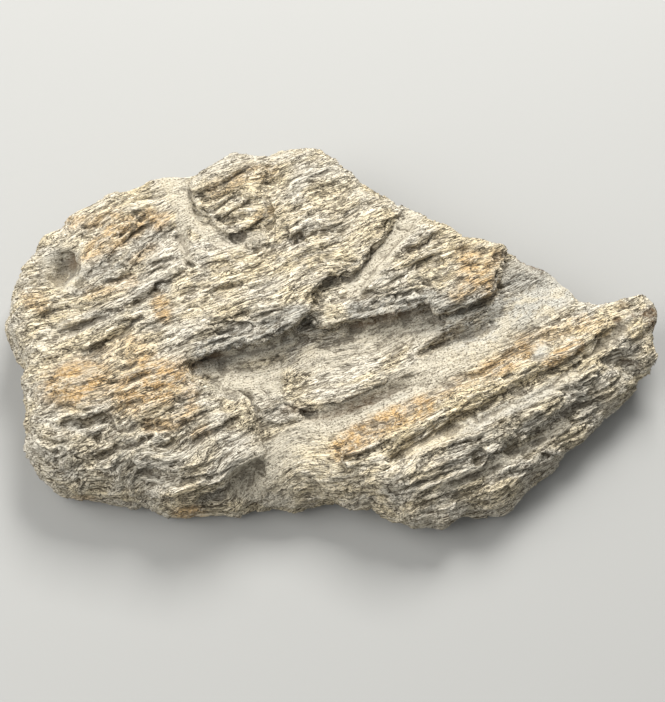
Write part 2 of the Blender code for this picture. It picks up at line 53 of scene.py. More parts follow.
viewDown = math.radians(viewer["down"])
centre = np.array(viewer["centre"])
rightward = np.array([1, 0, 0])
upward = np.array([0, math.sin(viewDown), math.cos(viewDown)])
towardsViewer = np.array([0, -math.cos(viewDown), math.sin(viewDown)])
aim = centre + rightward * viewer["aim"][0] + upward * viewer["aim"][1]
eye = aim + towardsViewer * viewer["distance"]


def seenAt(points):
    # where the viewer sees points, as (right, up)
    rays = points - eye
    reach = ((centre - eye) @ towardsViewer) / (rays @ towardsViewer)
    hits = eye + rays * reach[:, None] - centre
    return hits @ rightward, hits @ upward


def smooth(values):
    t = np.clip(values, 0, 1)
    return t * t * (3 - 2 * t)


def welded(mesh):
    # the solid's mesh is loose triangles, so its copy is merged first
    copy = mesh.copy()
    shape = bmesh.new()
    shape.from_mesh(copy)
    bmesh.ops.remove_doubles(shape, verts=shape.verts, dist=1e-6)
    shape.to_mesh(copy)
    shape.free()
    return copy


def withModifier(mesh, kind, group=None, **settings):
    helper = bpy.data.objects.new("helper", mesh)
    bpy.context.scene.collection.objects.link(helper)
    if group is not None:
        helper.vertex_groups.new(name="chosen")
        for weight in np.unique(group):
            chosen = np.nonzero(group == weight)[0].tolist()
            helper.vertex_groups["chosen"].add(chosen, float(weight), "REPLACE")
        settings["vertex_group"] = "chosen"
    modifier = helper.modifiers.new("step", kind)
    for key, value in settings.items():
        setattr(modifier, key, value)
    graph = bpy.context.evaluated_depsgraph_get()
    result = bpy.data.meshes.new_from_object(helper.evaluated_get(graph))
    bpy.data.objects.remove(helper)
    return result


def pointsOf(mesh):
    points = np.empty(len(mesh.vertices) * 3)
    mesh.vertices.foreach_get("co", points)
    return points.reshape(-1, 3) / mm


def movePoints(mesh, points):
    mesh.vertices.foreach_set("co", (points * mm).ravel())
    mesh.update()


def normalsOf(mesh):
    normals = np.empty(len(mesh.vertices) * 3)
    mesh.vertex_normals.foreach_get("vector", normals)
    return normals.reshape(-1, 3)


def spread(mesh, values, rounds):
    # mean over neighbouring points, again and again
    ends = np.empty(len(mesh.edges) * 2, dtype=int)
    mesh.edges.foreach_get("vertices", ends)
    a, b = ends.reshape(-1, 2).T
    count = len(mesh.vertices)
    degree = np.bincount(a, minlength=count) + np.bincount(b, minlength=count) + 1
    for _ in range(rounds):
        total = values.copy()
        total += np.bincount(a, values[b], count) + np.bincount(b, values[a], count)
        values = total / degree
    return values


grain = {
    # (right, up, direction of the fibres in degrees on the picture)
    "turns": [
        (-75, 38, 32), (-55, 34, 34), (-38, 46, 25), (-14, 44, 33), (8, 36, 33),
        (-92, 10, 12), (-68, 8, 22), (-44, 8, 22), (-24, 8, 15), (-8, 26, 22),
        (-86, -16, 12), (-60, -18, 20), (-38, -28, 20), (-84, -40, 16), (-58, -44, 3),
        (-34, 1, 27), (-20, 3, 24), (-28, -10, 10), (0, -2, 12), (-28, -46, 24), (10, -22, 20), (36, 2, 20),
        (22, 24, 29), (46, 20, 27), (66, 18, 30), (40, -20, 24), (64, -12, 27),
        (88, -4, 33), (104, -4, 30), (30, -40, 28), (58, -36, 26), (34, -56, 18),
        (2, -50, -4), (16, -54, -12), (-92, -48, -20), (-78, -53, -8), (-44, -52, 12), (-30, -49, 66),
    ],
    "usual": 22,
    "soften": 60,   # square mm, so that neighbouring directions blend
}


def grainPlaces(points):
    # coordinates along the fibres, across them and up; each place turns them round itself
    seenRight, seenUp = seenAt(points)
    total = np.zeros((2, len(points)))
    weights = np.zeros(len(points))
    for right, up, turn in grain["turns"]:
        angle = math.radians(turn)
        usual = math.radians(grain["usual"])
        x = points[:, 0] - right
        y = points[:, 1] - up / math.sin(viewDown)
        along = x * math.cos(angle) + y * math.sin(angle)
        across = y * math.cos(angle) - x * math.sin(angle)
        along += right * math.cos(usual) + up * math.sin(usual)
        across += up * math.cos(usual) - right * math.sin(usual)
        weight = 1 / ((seenRight - right) ** 2 + (seenUp - up) ** 2 + grain["soften"]) ** 2
        total += weight * np.stack([along, across])
        weights += weight
    along, across = total / weights
    return np.column_stack([along, across, points[:, 2]])


def bumps(places, size, start=0.0):
    # soft noise, -1 to 1, with bumps of that size in mm
    scaled = places / size + start
    return np.array([noise.noise(Vector(place)) for place in scaled])


splinter = {"tilt": 0.5, "stride": 7.3}   # fall across each one; the stride keeps neighbours' heights apart


def splinters(places, size, start=0.0):
    # overlapping splinters: each cell has its own height and tilt, and falls off at its lower edge
    scaled = places / size + start
    heights = np.empty(len(scaled))
    for index, place in enumerate(scaled):
        seed = noise.voronoi(Vector(place))[1][0]
        own = noise.cell(seed * splinter["stride"]) * 2 - 1
        heights[index] = own - splinter["tilt"] * (place[1] - seed.y)
    return heights


cleft = {"stretch": 1.3, "shift": 5, "contrast": 3, "common": 0.6}   # the noise that makes them come and go


def clefts(places, size, width, start=0.0):
    # narrow splits along the fibres, 1 at their bottom, which come and go
    split = smooth(1 - np.abs(bumps(places, size, start)) / width)
    present = bumps(places, np.multiply(size, cleft["stretch"]), start + cleft["shift"])
    return split * smooth(present * cleft["contrast"] + cleft["common"])


# Broken edges, higher on the left of the line: (drop, how far below the line it reaches, points)
ledges = {
    "main wall over the trough": (1.6, 2.6, [
        (-46.5, -7.6), (-43, -6.2), (-40, -5), (-34, -3), (-27, -2), (-20, -0.4), (-17, 0.8), (-13, 3.2),
        (-9.6, 7)]),
    "terrace edge": (0.7, 2.4, [(-9, 7), (-6, 7.6), (-4.5, 6), (-2.6, 4.2), (0, 4.2), (2, 5.4)]),
    "right edge of the middle plate": (0.9, 2.0, [
        (0, 19.8), (3, 20.2), (6, 20), (8, 22), (11, 25), (13, 28), (13.4, 30), (17, 33), (19, 35),
        (19, 39), (22, 41), (25, 43)]),
    "tongue's upper lip": (1.8, 4.1, [
        (9, 14), (12, 16.5), (17, 16), (22, 18), (28, 20.5), (33, 19.5), (35, 17)]),
    "tongue's base lip": (1.6, 3, [
        (3, 5.5), (6, 6), (11, 6.8), (17, 8), (23, 9), (27, 10.4), (31, 11.4), (34, 11)]),
    "tongue's second tip": (0.8, 3, [
        (33, 10.8), (34, 8.6), (35.4, 6.8), (37, 8), (41, 10), (46, 11), (50, 13), (53, 14.2), (54.6, 15)]),
    "tongue's right end": (1.6, 3.2, [(54, 15), (55, 20), (57, 26), (58, 31)]),
    "lower ridge of the trough": (1.6, 3.5, [
        (-10, -22), (-4, -22), (2, -21.5), (6, -20), (12, -17.5), (18, -15), (24, -12.2), (28, -11.4)]),
    "ridge past the tongue": (0.3, 2.2, [
        (29, -2.4), (34, 0.6), (40, 2.6), (46, 4.2), (51, 7), (54, 9.6), (57, 11)]),
    "slot left of the valley": (2.2, 3, [(-24.5, -27), (-26, -23), (-27.6, -20), (-30, -18)]),
    "lobe over the valley": (1.9, 3.5, [
        (-60, -53), (-55, -54), (-50, -52), (-46, -51), (-42, -49.6), (-38, -48), (-35, -46.6)]),
    "lobe's upper lip": (1.0, 3.5, [
        (-37, -44), (-33, -41.4), (-28, -40), (-25, -38.4), (-23, -41), (-21.5, -44), (-22, -47)]),
    "plateau's left tip": (1, 2.4, [(2.6, -37.4), (4, -38.8), (8, -39.4), (12, -38.4)]),
    "plateau's pale groove edge": (0.7, 2.4, [
        (37, -29), (42, -27.6), (50, -23), (58, -18.6)]),
    "plateau's lower edge": (1.4, 3.2, [
        (34, -49.6), (42, -47.6), (50, -43), (60, -36), (70, -30), (80, -22.6), (88, -15)]),
    "edge behind the right groove": (1.6, 3.2, [
        (66, -14.6), (72, -11), (78, -7.4), (82, -4.6), (86, -1.6), (91, 2.2), (95, 4.8)]),
    "layer at the left": (1.1, 2.4, [
        (-92, 2.2), (-88, 3.2), (-84, 4.6), (-79, 6.2), (-74, 9)]),
    "layer below it": (1.1, 2.4, [
        (-86, -3.4), (-81, -3.4), (-77, -2), (-73, 0), (-69, 2.6), (-65, 6.4), (-62, 8)]),
    "ochre layer": (1.6, 3, [
        (-89, -27.4), (-87, -26.6), (-82, -27.8), (-80, -26.8), (-76, -25), (-72, -27)]),
    "ochre lump's edge": (1.5, 2.7, [(-71.5, -29.6), (-67, -29), (-64, -28), (-58, -29), (-53, -30)]),
    "lower left layer": (1.2, 2.4, [
        (-85, -41), (-80, -41), (-77, -39), (-72, -35.6), (-66, -34.6), (-62, -33)]),
    "wavy layer": (1.2, 2.7, [
        (-97, -46), (-93, -47.6), (-88, -48.4), (-84, -47.4), (-80, -48.4), (-74, -48)]),
    "layer on the tongue": (1.1, 2.2, [(20, 20), (24, 21.6), (28, 24.4), (34, 28), (40, 30), (47, 31)]),
    "second layer on the tongue": (1.1, 2.2, [(19, 25), (26, 28), (30, 31), (35, 35.4)]),
    "scoop's wall": (1.0, 4, [
        (-91, 28.4), (-88, 28.8), (-86, 28.2), (-84, 26), (-83.2, 23), (-83.4, 20), (-84, 17)]),
    "upper left layer": (0.9, 2.4, [
        (-84, 18.4), (-80, 21.4), (-77, 24), (-73, 29), (-70, 32.6), (-66, 36), (-60, 39)]),
    "layer behind it": (0.9, 2.4, [
        (-82, 15), (-75, 17.4), (-70, 20), (-67, 23), (-64, 27), (-60, 31), (-56, 34.5)]),
    "step by the channel": (1.1, 2.7, [
        (-63, 13.4), (-60, 15.4), (-57, 18), (-52, 20.6), (-47, 23.4), (-42.5, 23)]),
    "ridge on the left lobe": (1.2, 2.2, [(-58, -36), (-52, -33.6), (-46, -30.6), (-38, -27)]),
}

lip = {"rise": 0.25, "reach": 5, "edge": 0.4}   # share of the drop that it stands proud; its width; its edge

# Cracks and grooves: (depth, half width, points)
grooves = {
    "crevice at the right edge": (1.6, 1.1, [(17.6, 38), (21, 39.4), (25, 40.6)]),
    "crevice below it": (1.2, 1.0, [(21, 36.6), (26, 36.2)]),
    "crevice in the edge": (1.4, 1.0, [(13.6, 29.8), (15.4, 31), (17.4, 32.2)]),
    "valley crack": (0.8, 0.7, [(-25, -44), (-22, -46)]),
    "trough swirl": (0.6, 0.8, [(-14, -10), (-14.4, -15), (-16, -20)]),
    "trough arc": (0.6, 0.8, [(-24, -16), (-19, -18), (-15, -21), (-10, -24)]),
    "tongue groove": (1.0, 1.0, [(24, 28.5), (30, 31), (35, 35.4)]),
    "tongue groove, right": (1.0, 1.0, [(31, 26), (36, 28.4), (40, 30), (47, 31)]),
    "tongue groove, end": (0.8, 0.9, [(36, 25), (45, 30)]),
    "shadow under the tongue": (0.8, 2, [(4, 4), (8, 3.4), (14, 5), (20, 6.4), (27, 8)]),
    "shadow under the second tip": (0.3, 1.6, [(34.6, 5), (40, 7), (47, 9)]),
    "deep hole's tail": (1.0, 0.9, [(47, -41), (50, -41.4)]),
    "right pit's tail": (1.2, 0.9, [(72, -2.4), (75, -1.4), (78, -0.6)]),
    "right crack": (0.9, 0.8, [(77, 1.5), (80, 2.5)]),
    "right crack, longer": (0.9, 0.8, [(80, 1), (84, 2), (87, 4)]),
    "plateau's pale groove": (0.7, 3.2, [(34, -34), (42, -30.4), (50, -27), (66, -20.4), (80, -12)]),
    "plateau's lower groove": (1.0, 3, [(38, -49), (53, -43), (65, -36.6), (78, -29), (90, -21)]),
    "groove at the right end": (0.9, 2.6, [(99, 4.4), (90, -2), (85, -5)]),
}

# Lips of overlapping bundles of fibres, higher on the left of each line: (drop, ramp below it, lines)
creases = {
    "thick": (2.3, 4.0, [
        [(-45.6, 45.4), (-43.8, 43), (-41, 42.4), (-38, 44), (-34, 46.5), (-30, 48.6)],
        [(-42, 49.8), (-37.4, 51.6), (-34, 53.4), (-31, 55.4), (-28.6, 57)],
        [(-40, 40.2), (-35, 41), (-31, 43.6), (-27, 46.6)],
        [(-34.4, 34.8), (-31.4, 34.6), (-28, 36.6), (-25, 38.4), (-22, 40)],
    ]),
    "bold": (1.6, 3.0, [
        [(-47.6, 49.6), (-45.4, 48.4), (-42, 49)], [(-43.4, 39.6), (-41.4, 38.8), (-38.6, 40)],
        [(-73.4, 22.4), (-69, 25.4), (-65, 29.4), (-61, 33)],
        [(3, -38.6), (6, -39), (9, -38.4), (12, -37), (15, -36), (18, -34), (21, -33)],
        [(20, -27.8), (22, -28.2), (24.4, -28)],
        [(50, -18.6), (53, -17.4), (56, -15)],
        [(56.6, -12.8), (59, -12), (62, -10.8)],
        [(52, -37.4), (54.6, -38.4), (57.4, -37.8)],
        [(58, -34.4), (60, -36), (63, -35)],
        [(79, -9.6), (82, -7.6), (86, -5), (88, -2.6), (90.4, 0)],
        [(-28.4, 32), (-26.6, 29.8), (-23.4, 31)],
        [(-47.4, 26), (-46, 24.8), (-44, 24.6)],
        [(-88.5, -28), (-86, -26.6), (-83, -27.4), (-80, -26.6), (-76, -25.4), (-73, -26),
         (-71.2, -29.4), (-67, -29.8)],
        [(-73, -34), (-70, -35.8), (-66, -34.6), (-62, -32.6), (-58, -31.6)],
        [(-66.5, -41), (-63, -43), (-58, -43), (-55.6, -45)],
        [(-66, -45.4), (-62, -47.4), (-57, -48), (-55, -46.8)],
        [(-28.2, -20.6), (-26.8, -24), (-24.6, -27)],
        [(-9.8, -23.4), (-7, -24.6), (-4.2, -24)],
        [(8, 8.6), (14, 10), (20, 11.4), (26, 12.8), (32, 13.4)],
    ]),
    "plain": (1.2, 2.4, [
        [(-71, 34), (-68, 37), (-64, 40), (-61, 41.6)], [(-88.6, 39), (-87.2, 36.6), (-84, 36)],
        [(-12.6, 34), (-10, 35), (-7.4, 34)], [(-58, 15.6), (-54, 16.6), (-51, 18.4)],
        [(91, -6.2), (93, -6.8), (94.6, -6.4)],
        [(20, -39), (24, -37), (28, -34.6), (31, -33), (34, -31), (37, -29.4), (40, -28.4), (43, -28.6)],
        [(3.6, 23.8), (7, 24.6), (9, 25.4), (12, 26.6)],
        [(-9.6, 11), (-8, 14), (-5.6, 17), (-3, 19), (0, 20)],
        [(15, -29.4), (18, -30.2)],
        [(28, -27.4), (31, -25.6), (35, -24), (40, -22.6), (45, -21), (50, -18.8)],
        [(56, -15), (59, -14), (63, -11.6), (67, -9), (71, -7.4)],
        [(44.4, -26.4), (45.6, -24.4), (48, -24.6), (49, -26.4), (53, -23.6), (57, -22),
         (62, -20), (66, -19)],
        [(66, -19), (70, -16.4), (74, -13.8), (79, -10)], [(44, -33), (47.6, -33.8), (51, -31.6)],
        [(55, -28.8), (57, -27.2), (59, -27)], [(62, -30), (62.6, -27.6), (65, -26.6), (67, -27.6)],
        [(64, -34.4), (67, -32.6), (71, -31)],
        [(21, -47.6), (27, -45.4), (32, -44), (36, -42.4), (44, -39.6)],
        [(24, -50), (30, -47), (36, -45), (41, -44)], [(42, -48.6), (47, -46), (50, -44.6), (58, -41.4)],
        [(44, -52), (48, -51), (53, -51.4)], [(30, -55), (36, -52.6), (42, -50.4)],
        [(22, -53.4), (28, -51)],
        [(70, -37.6), (73, -38.8), (77, -38.6)], [(80, -22.6), (84, -21.6), (87, -19)],
        [(74, -24.6), (79, -22)],
        [(54, -46.6), (60, -44.6), (67, -43)], [(44, -56.6), (51, -54.4), (58, -53.6)],
        [(87, -18.6), (92, -16), (96, -12.6)],
        [(0, -46.8), (6, -46), (12, -46.6)], [(0, -51), (6, -51.6), (12, -52.6), (18, -52)],
        [(4, -48.4), (10, -48), (16, -48.6), (21, -49.6)], [(5, -43), (9, -42), (13, -41.4), (17, -41)],
        [(82, -14.6), (86, -12), (90, -10.4)], [(-41, 46.4), (-35, 48.6), (-28, 51.6)],
        [(-31, 49.2), (-29, 47.6), (-25.6, 46.6)], [(-84, 38), (-80, 37), (-77, 38.4)],
        [(-83, 35), (-79, 34.4), (-76, 33.4)], [(-70.6, 31), (-67, 34), (-63, 36.4), (-59, 38.4)],
        [(-66, 31), (-62, 33.6), (-56, 37.4)], [(-64, 24), (-59, 26), (-52, 28)],
        [(-67, 21.4), (-62, 22.4), (-53, 25)],
        [(-80, 19), (-76, 19.6), (-70, 20), (-66, 21)], [(-78.4, 7.4), (-76, 9.4), (-71, 9.8)],
        [(-93, 4.4), (-88, 4), (-83, 5.4), (-79, 6.6)], [(-70, 6), (-66, 6.4), (-62, 8)],
        [(-48, 11), (-45, 11.6), (-42, 11.2)],
        [(-44, -3.4), (-40, -1.4), (-35, 0), (-29, 1.6)], [(-37, 6.4), (-33, 5), (-28, 5), (-24, 3.6)],
        [(-26, 8), (-22, 8.4), (-17, 10), (-14, 9.6)], [(-24, 0.6), (-19, 2), (-14, 5)],
        [(-38, 2), (-32, 3.4)],
        [(-70, -9), (-67, -9), (-65, -8)], [(-77, -13), (-73, -14), (-70, -13.4)],
        [(-68, -14), (-64, -12), (-60, -11.4)], [(-62, -17), (-58, -16), (-54, -14.6)],
        [(-64, -20), (-60, -20.4), (-57, -19)],
        [(-93, -40), (-90, -39.8), (-87.6, -38.4)], [(-60, -40), (-55, -41), (-50, -40.4)],
        [(-55, -45), (-50, -46.6), (-46, -46.8), (-43, -45.6)], [(-42, -47), (-38, -45), (-30, -41.6)],
        [(-48, -43.8), (-44, -42.4), (-36, -39.6)], [(-25.4, -37.4), (-24, -39)],
        [(-22, -27), (-17, -28), (-8, -26.2)],
        [(-97, -45), (-93, -48), (-88, -50), (-80, -51), (-72, -50.4)],
        [(-36, -21), (-34.8, -22.8), (-33, -21.6)],
        [(-41, -12.4), (-39, -13.2), (-36.6, -13)], [(14, 13), (19, 13.8), (25, 15.4), (31, 16.6)],
        [(-79, -36), (-78.6, -32.6), (-76.4, -30.4)], [(-96, -32.6), (-91, -34), (-87, -33)],
        [(-84, -44), (-76, -43.6), (-70, -42)],
    ]),
    "hair-fine": (0.3, 1.2, [
        [(-38.6, -52), (-37, -49)], [(-36, -52.6), (-34, -48)], [(-34.4, -50), (-33, -46)],
        [(-32.4, -52.4), (-30.4, -46)],
        [(-30.6, -49.6), (-29.4, -45)], [(-28.6, -51), (-27, -45.6)], [(-26.4, -47.6), (-25.4, -43)],
    ]),
    "slight": (0.7, 2.0, [
        [(-36, 34), (-33, 31.6)], [(-33, 34.4), (-30.6, 31.8)], [(-20, 47), (-18.6, 40), (-18.4, 33)],
        [(96.4, -7.2), (99, -8), (101, -9)], [(22, 22), (28, 25), (34, 28.6)],
        [(26, 27), (32, 30), (38, 33.6)], [(-14, -10), (-14.4, -15), (-16, -20)],
        [(-24, -16), (-19, -18), (-15, -21), (-10, -24)], [(-34, -16.6), (-28, -17), (-22, -20)],
        [(-6, 16.8), (-5.8, 13), (-3, 11), (0, 12.4), (0.4, 15)], [(-4.2, 15), (-3, 13), (-1.4, 14.4)],
        [(-6, 49.4), (-2, 51), (2, 52.6)], [(-10, 57), (-6, 58.2), (-2.6, 57.4)], [(-18, 50), (-14, 52.6)],
        [(-12, 41), (-5, 43), (2, 46.4)], [(-2, 38), (6, 41.4), (12, 45)], [(-14, 27), (-6, 29.4), (2, 33)],
        [(-38, 17), (-30, 19.4), (-22, 20.6)], [(-44, 15), (-36, 17.6)], [(-60, 3), (-54, 5), (-48, 8)],
        [(-90, 14), (-84, 14.6), (-78, 16.6)], [(-98, 6), (-94, 9), (-92, 13)],
        [(-66, -1), (-60, 1.4), (-55, 2.6)],
        [(-90, -12), (-84, -11), (-78, -8.6)], [(-56, -24), (-50, -22), (-44, -19)],
        [(-60, -28), (-52, -26.6)],
        [(0, -4), (6, -3), (12, -2)], [(2, -9), (10, -8), (16, -6)], [(22, -5), (26, -5.6), (29, -8)],
        [(-4, -16), (4, -15), (10, -13)],
    ]),
}

# Lips that stand out over what lies below them: (rise, width, points)
overhangs = {
    "main wall": (1.7, 5, [
        (-46, -8.4), (-43, -6.6), (-40, -5.4), (-34, -3.2), (-27, -1.6), (-20, -0.2), (-13, 3.2),
        (-9.6, 7)]),
    "tongue": (1.1, 3, [(4, 5.4), (11, 6.8), (17, 8), (23, 9), (29, 10.6), (34, 11)]),
    "lobe over the valley": (0.7, 4, [(-60, -53), (-50, -52), (-42, -49.6), (-35, -46.6)]),
}

# Floors that lie higher than in the solid: (height of their start, height of their end, half width, points)
floors = {
    "channel by the block": (29.2, 29.2, 9, [
        (-51, 58), (-48, 51.4), (-45.4, 45.6), (-41.4, 40.4), (-35.6, 36)]),
    "channel by the right edge": (25.6, 25.6, 4, [(26, 41), (21.6, 35.4), (17, 29.4), (13, 24.4), (8, 19)]),
    "under the second tip": (24.4, 24.4, 2.6, [(39, 7.6), (46, 9.4), (53, 12.4)]),
    "trough's left end": (27.4, 20, 4, [(-50, -12), (-43.4, -10.4), (-36, -9)]),
    "under the terrace": (21.6, 21.6, 3, [(-9, 4), (-3, 2.6), (3, 3.4)]),
    "under the main wall": (20, 20, 2.4, [(-38, -6.6), (-27, -4.6), (-19, -2.6), (-12, 1.6)]),
}

# Where floors fade out: far behind the middle and low down, from and to in mm, and on steep places
floorLimits = {"behind": (51, 54), "low": (16, 18), "steep": 0.1}

# Pits: (right, up, half length, half width, turn, depth)
pits = [
    (-88.7, 26, 0.8, 0.7, 0, 0.8), (-85.5, 27, 0.8, 0.7, 0, 0.8), (-88, 37.5, 2.6, 1.3, 0, 1.6),
    (-26, 31, 1, 0.8, 0, 1.3), (-23, 31.5, 1, 0.8, 0, 1.2), (-24.5, 27, 1, 0.8, 30, 1.2),
    (-41, 22, 1, 0.8, 0, 1.2), (-51, 33.5, 0.9, 0.8, 0, 1.1), (-51, 22, 1, 0.8, 0, 1.2),
    (-3, 57.5, 1, 0.8, 0, 1.0), (-17, 50, 1, 0.8, 0, 1.0), (-13.5, 47, 1, 0.8, 0, 1.0),
    (-83, -5.4, 0.9, 0.7, 0, 1.0), (-78.5, -7, 1.3, 0.9, 0, 1.4), (-95.5, -7, 1.2, 0.8, 30, 1.2),
    (-100, -14.5, 1.1, 0.8, 30, 1.2), (-85, 12, 1.1, 0.8, 0, 1.0), (-47, 7.5, 1, 0.8, 20, 1.1),
    (-42, 12.5, 0.9, 0.8, 0, 1.0), (-12, 13, 1.1, 0.9, 0, 1.2), (-30, 19, 1, 0.8, 0, 1.0),
    (-33, -12.5, 0.9, 0.7, 0, 0.9), (-16, -7.5, 1, 0.8, 0, 0.9), (29, 15.5, 1.8, 0.9, 10, 1.4),
    (19, 13, 1.6, 0.8, 10, 1.3), (10, 9, 1.6, 0.9, 20, 1.4), (13, 12, 1.4, 0.8, 20, 1.2),
    (32, 17.4, 2, 1, 40, 1.6), (29, 21.5, 1.1, 0.9, 0, 1.2), (57, 17, 0.9, 0.8, 0, 0.9),
    (53, 5, 1.2, 0.8, 20, 1.2), (17, -22.5, 1, 0.8, 0, 0.9), (36, -14, 0.9, 0.7, 0, 0.8),
    (4, -35, 0.8, 0.7, 0, 0.8), (-24.5, -38, 1, 0.8, 0, 1.2), (-76, -43, 1.1, 0.8, 0, 1.2),
    (-63, -39, 1, 0.8, 0, 1.0), (-44, -32, 1.1, 0.7, -50, 1.0), (-41, -31.6, 1.1, 0.7, -50, 1.0),
    (-38, -32.6, 1.1, 0.7, -50, 1.0), (-47, -21.5, 1, 0.7, 0, 1.0), (-43.6, -21.5, 1, 0.7, 0, 1.0),
    (-40, -21.5, 1, 0.7, 0, 1.0), (17, -29.5, 1.1, 0.8, 20, 1.0), (32, -28, 1.2, 0.9, 20, 1.2),
    (49, -38.6, 2.4, 1.2, 15, 1.8), (41, -48.2, 1.8, 1.4, 0, 1.8), (13.5, -54.5, 1.4, 1, 0, 1.4),
    (69.6, -4.2, 3.2, 2.2, 20, 0.4), (72.4, -2.2, 1.6, 0.9, -10, 1.4), (76, -1, 1, 0.8, 0, 1.2),
    (78.3, -0.8, 0.9, 0.8, 0, 1.2), (66, -15.5, 1.1, 0.8, 30, 1.1), (88, -11.5, 1.2, 0.9, 0, 1.3),
    (85, -13.5, 1.3, 0.9, 30, 1.4), (82.5, -11, 1.2, 0.9, 0, 1.3), (79, -13, 1.2, 0.9, 30, 1.3),
    (77, -14, 1.1, 0.8, 0, 1.2), (95, 6, 1.8, 1.1, 50, 1.6), (92, 5, 1.1, 0.8, 30, 1.2),
    (60.5, -35, 2.8, 1.4, 10, 1.8), (69, -31, 1.6, 1, 20, 1.4), (74, -33, 1.4, 1, 20, 1.4),
    (73, -39, 2, 1, 0, 1.4), (88.5, -27, 1.3, 1, 0, 1.3), (79, -37, 1.6, 1.2, 60, 1.4),
    (104.5, -5.5, 1, 0.8, 0, 1.2), (107, -5, 0.9, 0.8, 0, 1.1), (105.5, -8, 1.2, 0.8, 0, 1.3),
]

# Where the bone is worn smooth (below 1) or more splintered (above 1): (right, up, reach, roughness)
wornSpots = [
    (-28, -12, 8, 0.2), (-18, -12, 7, 0.35), (-36, -14, 5, 0.3), (-42, -9, 4, 0.5), (-88.5, 23, 7, 0.1),
    (-84, -14, 8, 0.55), (-86, -29, 4, 0.2), (-60, -14, 7, 0.8), (69.6, -4.2, 3, 0.1), (-16, -52, 7, 0.6),
    (20, 38, 4, 1.5), (16, 31, 4, 1.5), (11, 25, 4, 1.5), (6, 21, 3, 1.4), (-8, -14, 7, 1.4),
    (-9, 34, 4, 2), (0, -46, 8, 0.6), (10, -50, 7, 0.7), (-36, 45, 8, 1.7), (-68, 30, 12, 1.4),
    (-28, 4, 12, 1.5), (22, 12, 9, 1.5), (-50, -38, 14, 1.4), (-80, -38, 14, 1.3), (60, -30, 18, 1.4),
    (30, -40, 10, 1.5), (84, -16, 10, 1.3), (98, 4, 8, 1.3), (36, 28, 10, 1.3), (-40, 16, 12, 1.2),
    (8, -52, 8, 1.3), (-92, -42, 8, 1.4),
]

# the same along lines: (roughness, half width, points)
wornBands = {
    "floor under the main wall": (0.25, 2.6, [
        (-43, -9.6), (-36, -7.6), (-28, -5.4), (-20, -3.4), (-14, -0.6)]),
    "floor under the tongue": (0.3, 2.6, [(5, 2), (12, 3), (20, 4.6), (27, 6.4)]),
    "far channel": (0.12, 3.8, [(-56, 56), (-51, 49), (-48, 44), (-43.6, 38.6), (-37, 34)]),
    "its branch": (0.3, 1.8, [(-50, 40), (-49, 30), (-47.4, 25)]),
    "fibres below the block": (0.45, 3, [(-37, 33.4), (-31, 31), (-24, 33)]),
    "right channel": (0.2, 3.4, [(26, 40), (22, 34), (17, 28), (12, 22), (8, 17)]),
    "right of the trough": (0.45, 5, [(-6, -8), (8, -3), (20, 0), (32, 4)]),
    "valley": (0.22, 6, [
        (76, 16), (63, 8), (50, -1), (34, -11), (20, -19), (6, -26), (-8, -33), (-20, -40), (-29, -48)]),
    "plateau's pale groove": (0.25, 2.4, [(26, -38), (38, -32), (50, -27), (66, -20.4), (80, -12)]),
    "plateau's lower groove": (0.4, 2.2, [(38, -49), (53, -43), (65, -36.6), (78, -29)]),
    "groove at the right end": (0.3, 2, [(98, 4), (90, -2), (85, -5)]),
}


lineEnds = {"share": 0.15, "least": 0.25}   # how lines fade towards their ends
# half widths at which each has faded out
softEdge = {"floors": 1.6, "pits": 1.1, "worn": 1.5, "stainsAndShade": 1.6}


def alongLine(line, right, up):
    # signed distance from the line, plus on its left; a share that fades towards both ends;
    # and the way along it, 0 to 1
    distance = np.full(len(right), 1e6)
    side = np.ones(len(right))
    fade = np.zeros(len(right))
    way = np.zeros(len(right))
    lengths = [math.dist(a, b) for a, b in zip(line, line[1:])]
    total = sum(lengths)
    start = 0
    for (ax, ay), (bx, by), length in zip(line, line[1:], lengths):
        dx, dy = (bx - ax) / length, (by - ay) / length
        share = np.clip((right - ax) * dx + (up - ay) * dy, 0, length)
        offX, offY = right - ax - share * dx, up - ay - share * dy
        near = np.hypot(offX, offY)
        closer = near < distance
        distance[closer] = near[closer]
        side[closer] = np.where(dx * offY - dy * offX >= 0, 1, -1)[closer]
        done = (start + share) / total
        fade[closer] = (smooth(done / lineEnds["share"]) * smooth((1 - done) / lineEnds["share"]))[closer]
        way[closer] = done[closer]
        start += length
    return distance * side, lineEnds["least"] + (1 - lineEnds["least"]) * fade, way


def fromOval(right, up, oval):
    # distance from the middle of an oval, 1 at its edge
    x, y, halfLength, halfWidth, turn = oval
    cosine, sine = math.cos(math.radians(turn)), math.sin(math.radians(turn))
    a = ((right - x) * cosine + (up - y) * sine) / halfLength
    b = ((up - y) * cosine - (right - x) * sine) / halfWidth
    return np.hypot(a, b)


def lifted(points, normals):
    # upward lift that brings the floors to their height
    right, up = seenAt(points)
    lift = np.zeros(len(points))
    for first, last, halfWidth, line in floors.values():
        off, _, way = alongLine(line, right, up)
        share = smooth(softEdge["floors"] - np.abs(off) / halfWidth)
        lift = np.maximum(lift, share * (first + (last - first) * way - points[:, 2]))
    nearest, farthest = floorLimits["behind"]
    lowest, clear = floorLimits["low"]
    onTop = smooth((farthest - points[:, 1]) / (farthest - nearest))
    turnedUp = smooth(normals[:, 2] / floorLimits["steep"] + 0.5)
    return lift * onTop * turnedUp * smooth((points[:, 2] - lowest) / (clear - lowest))


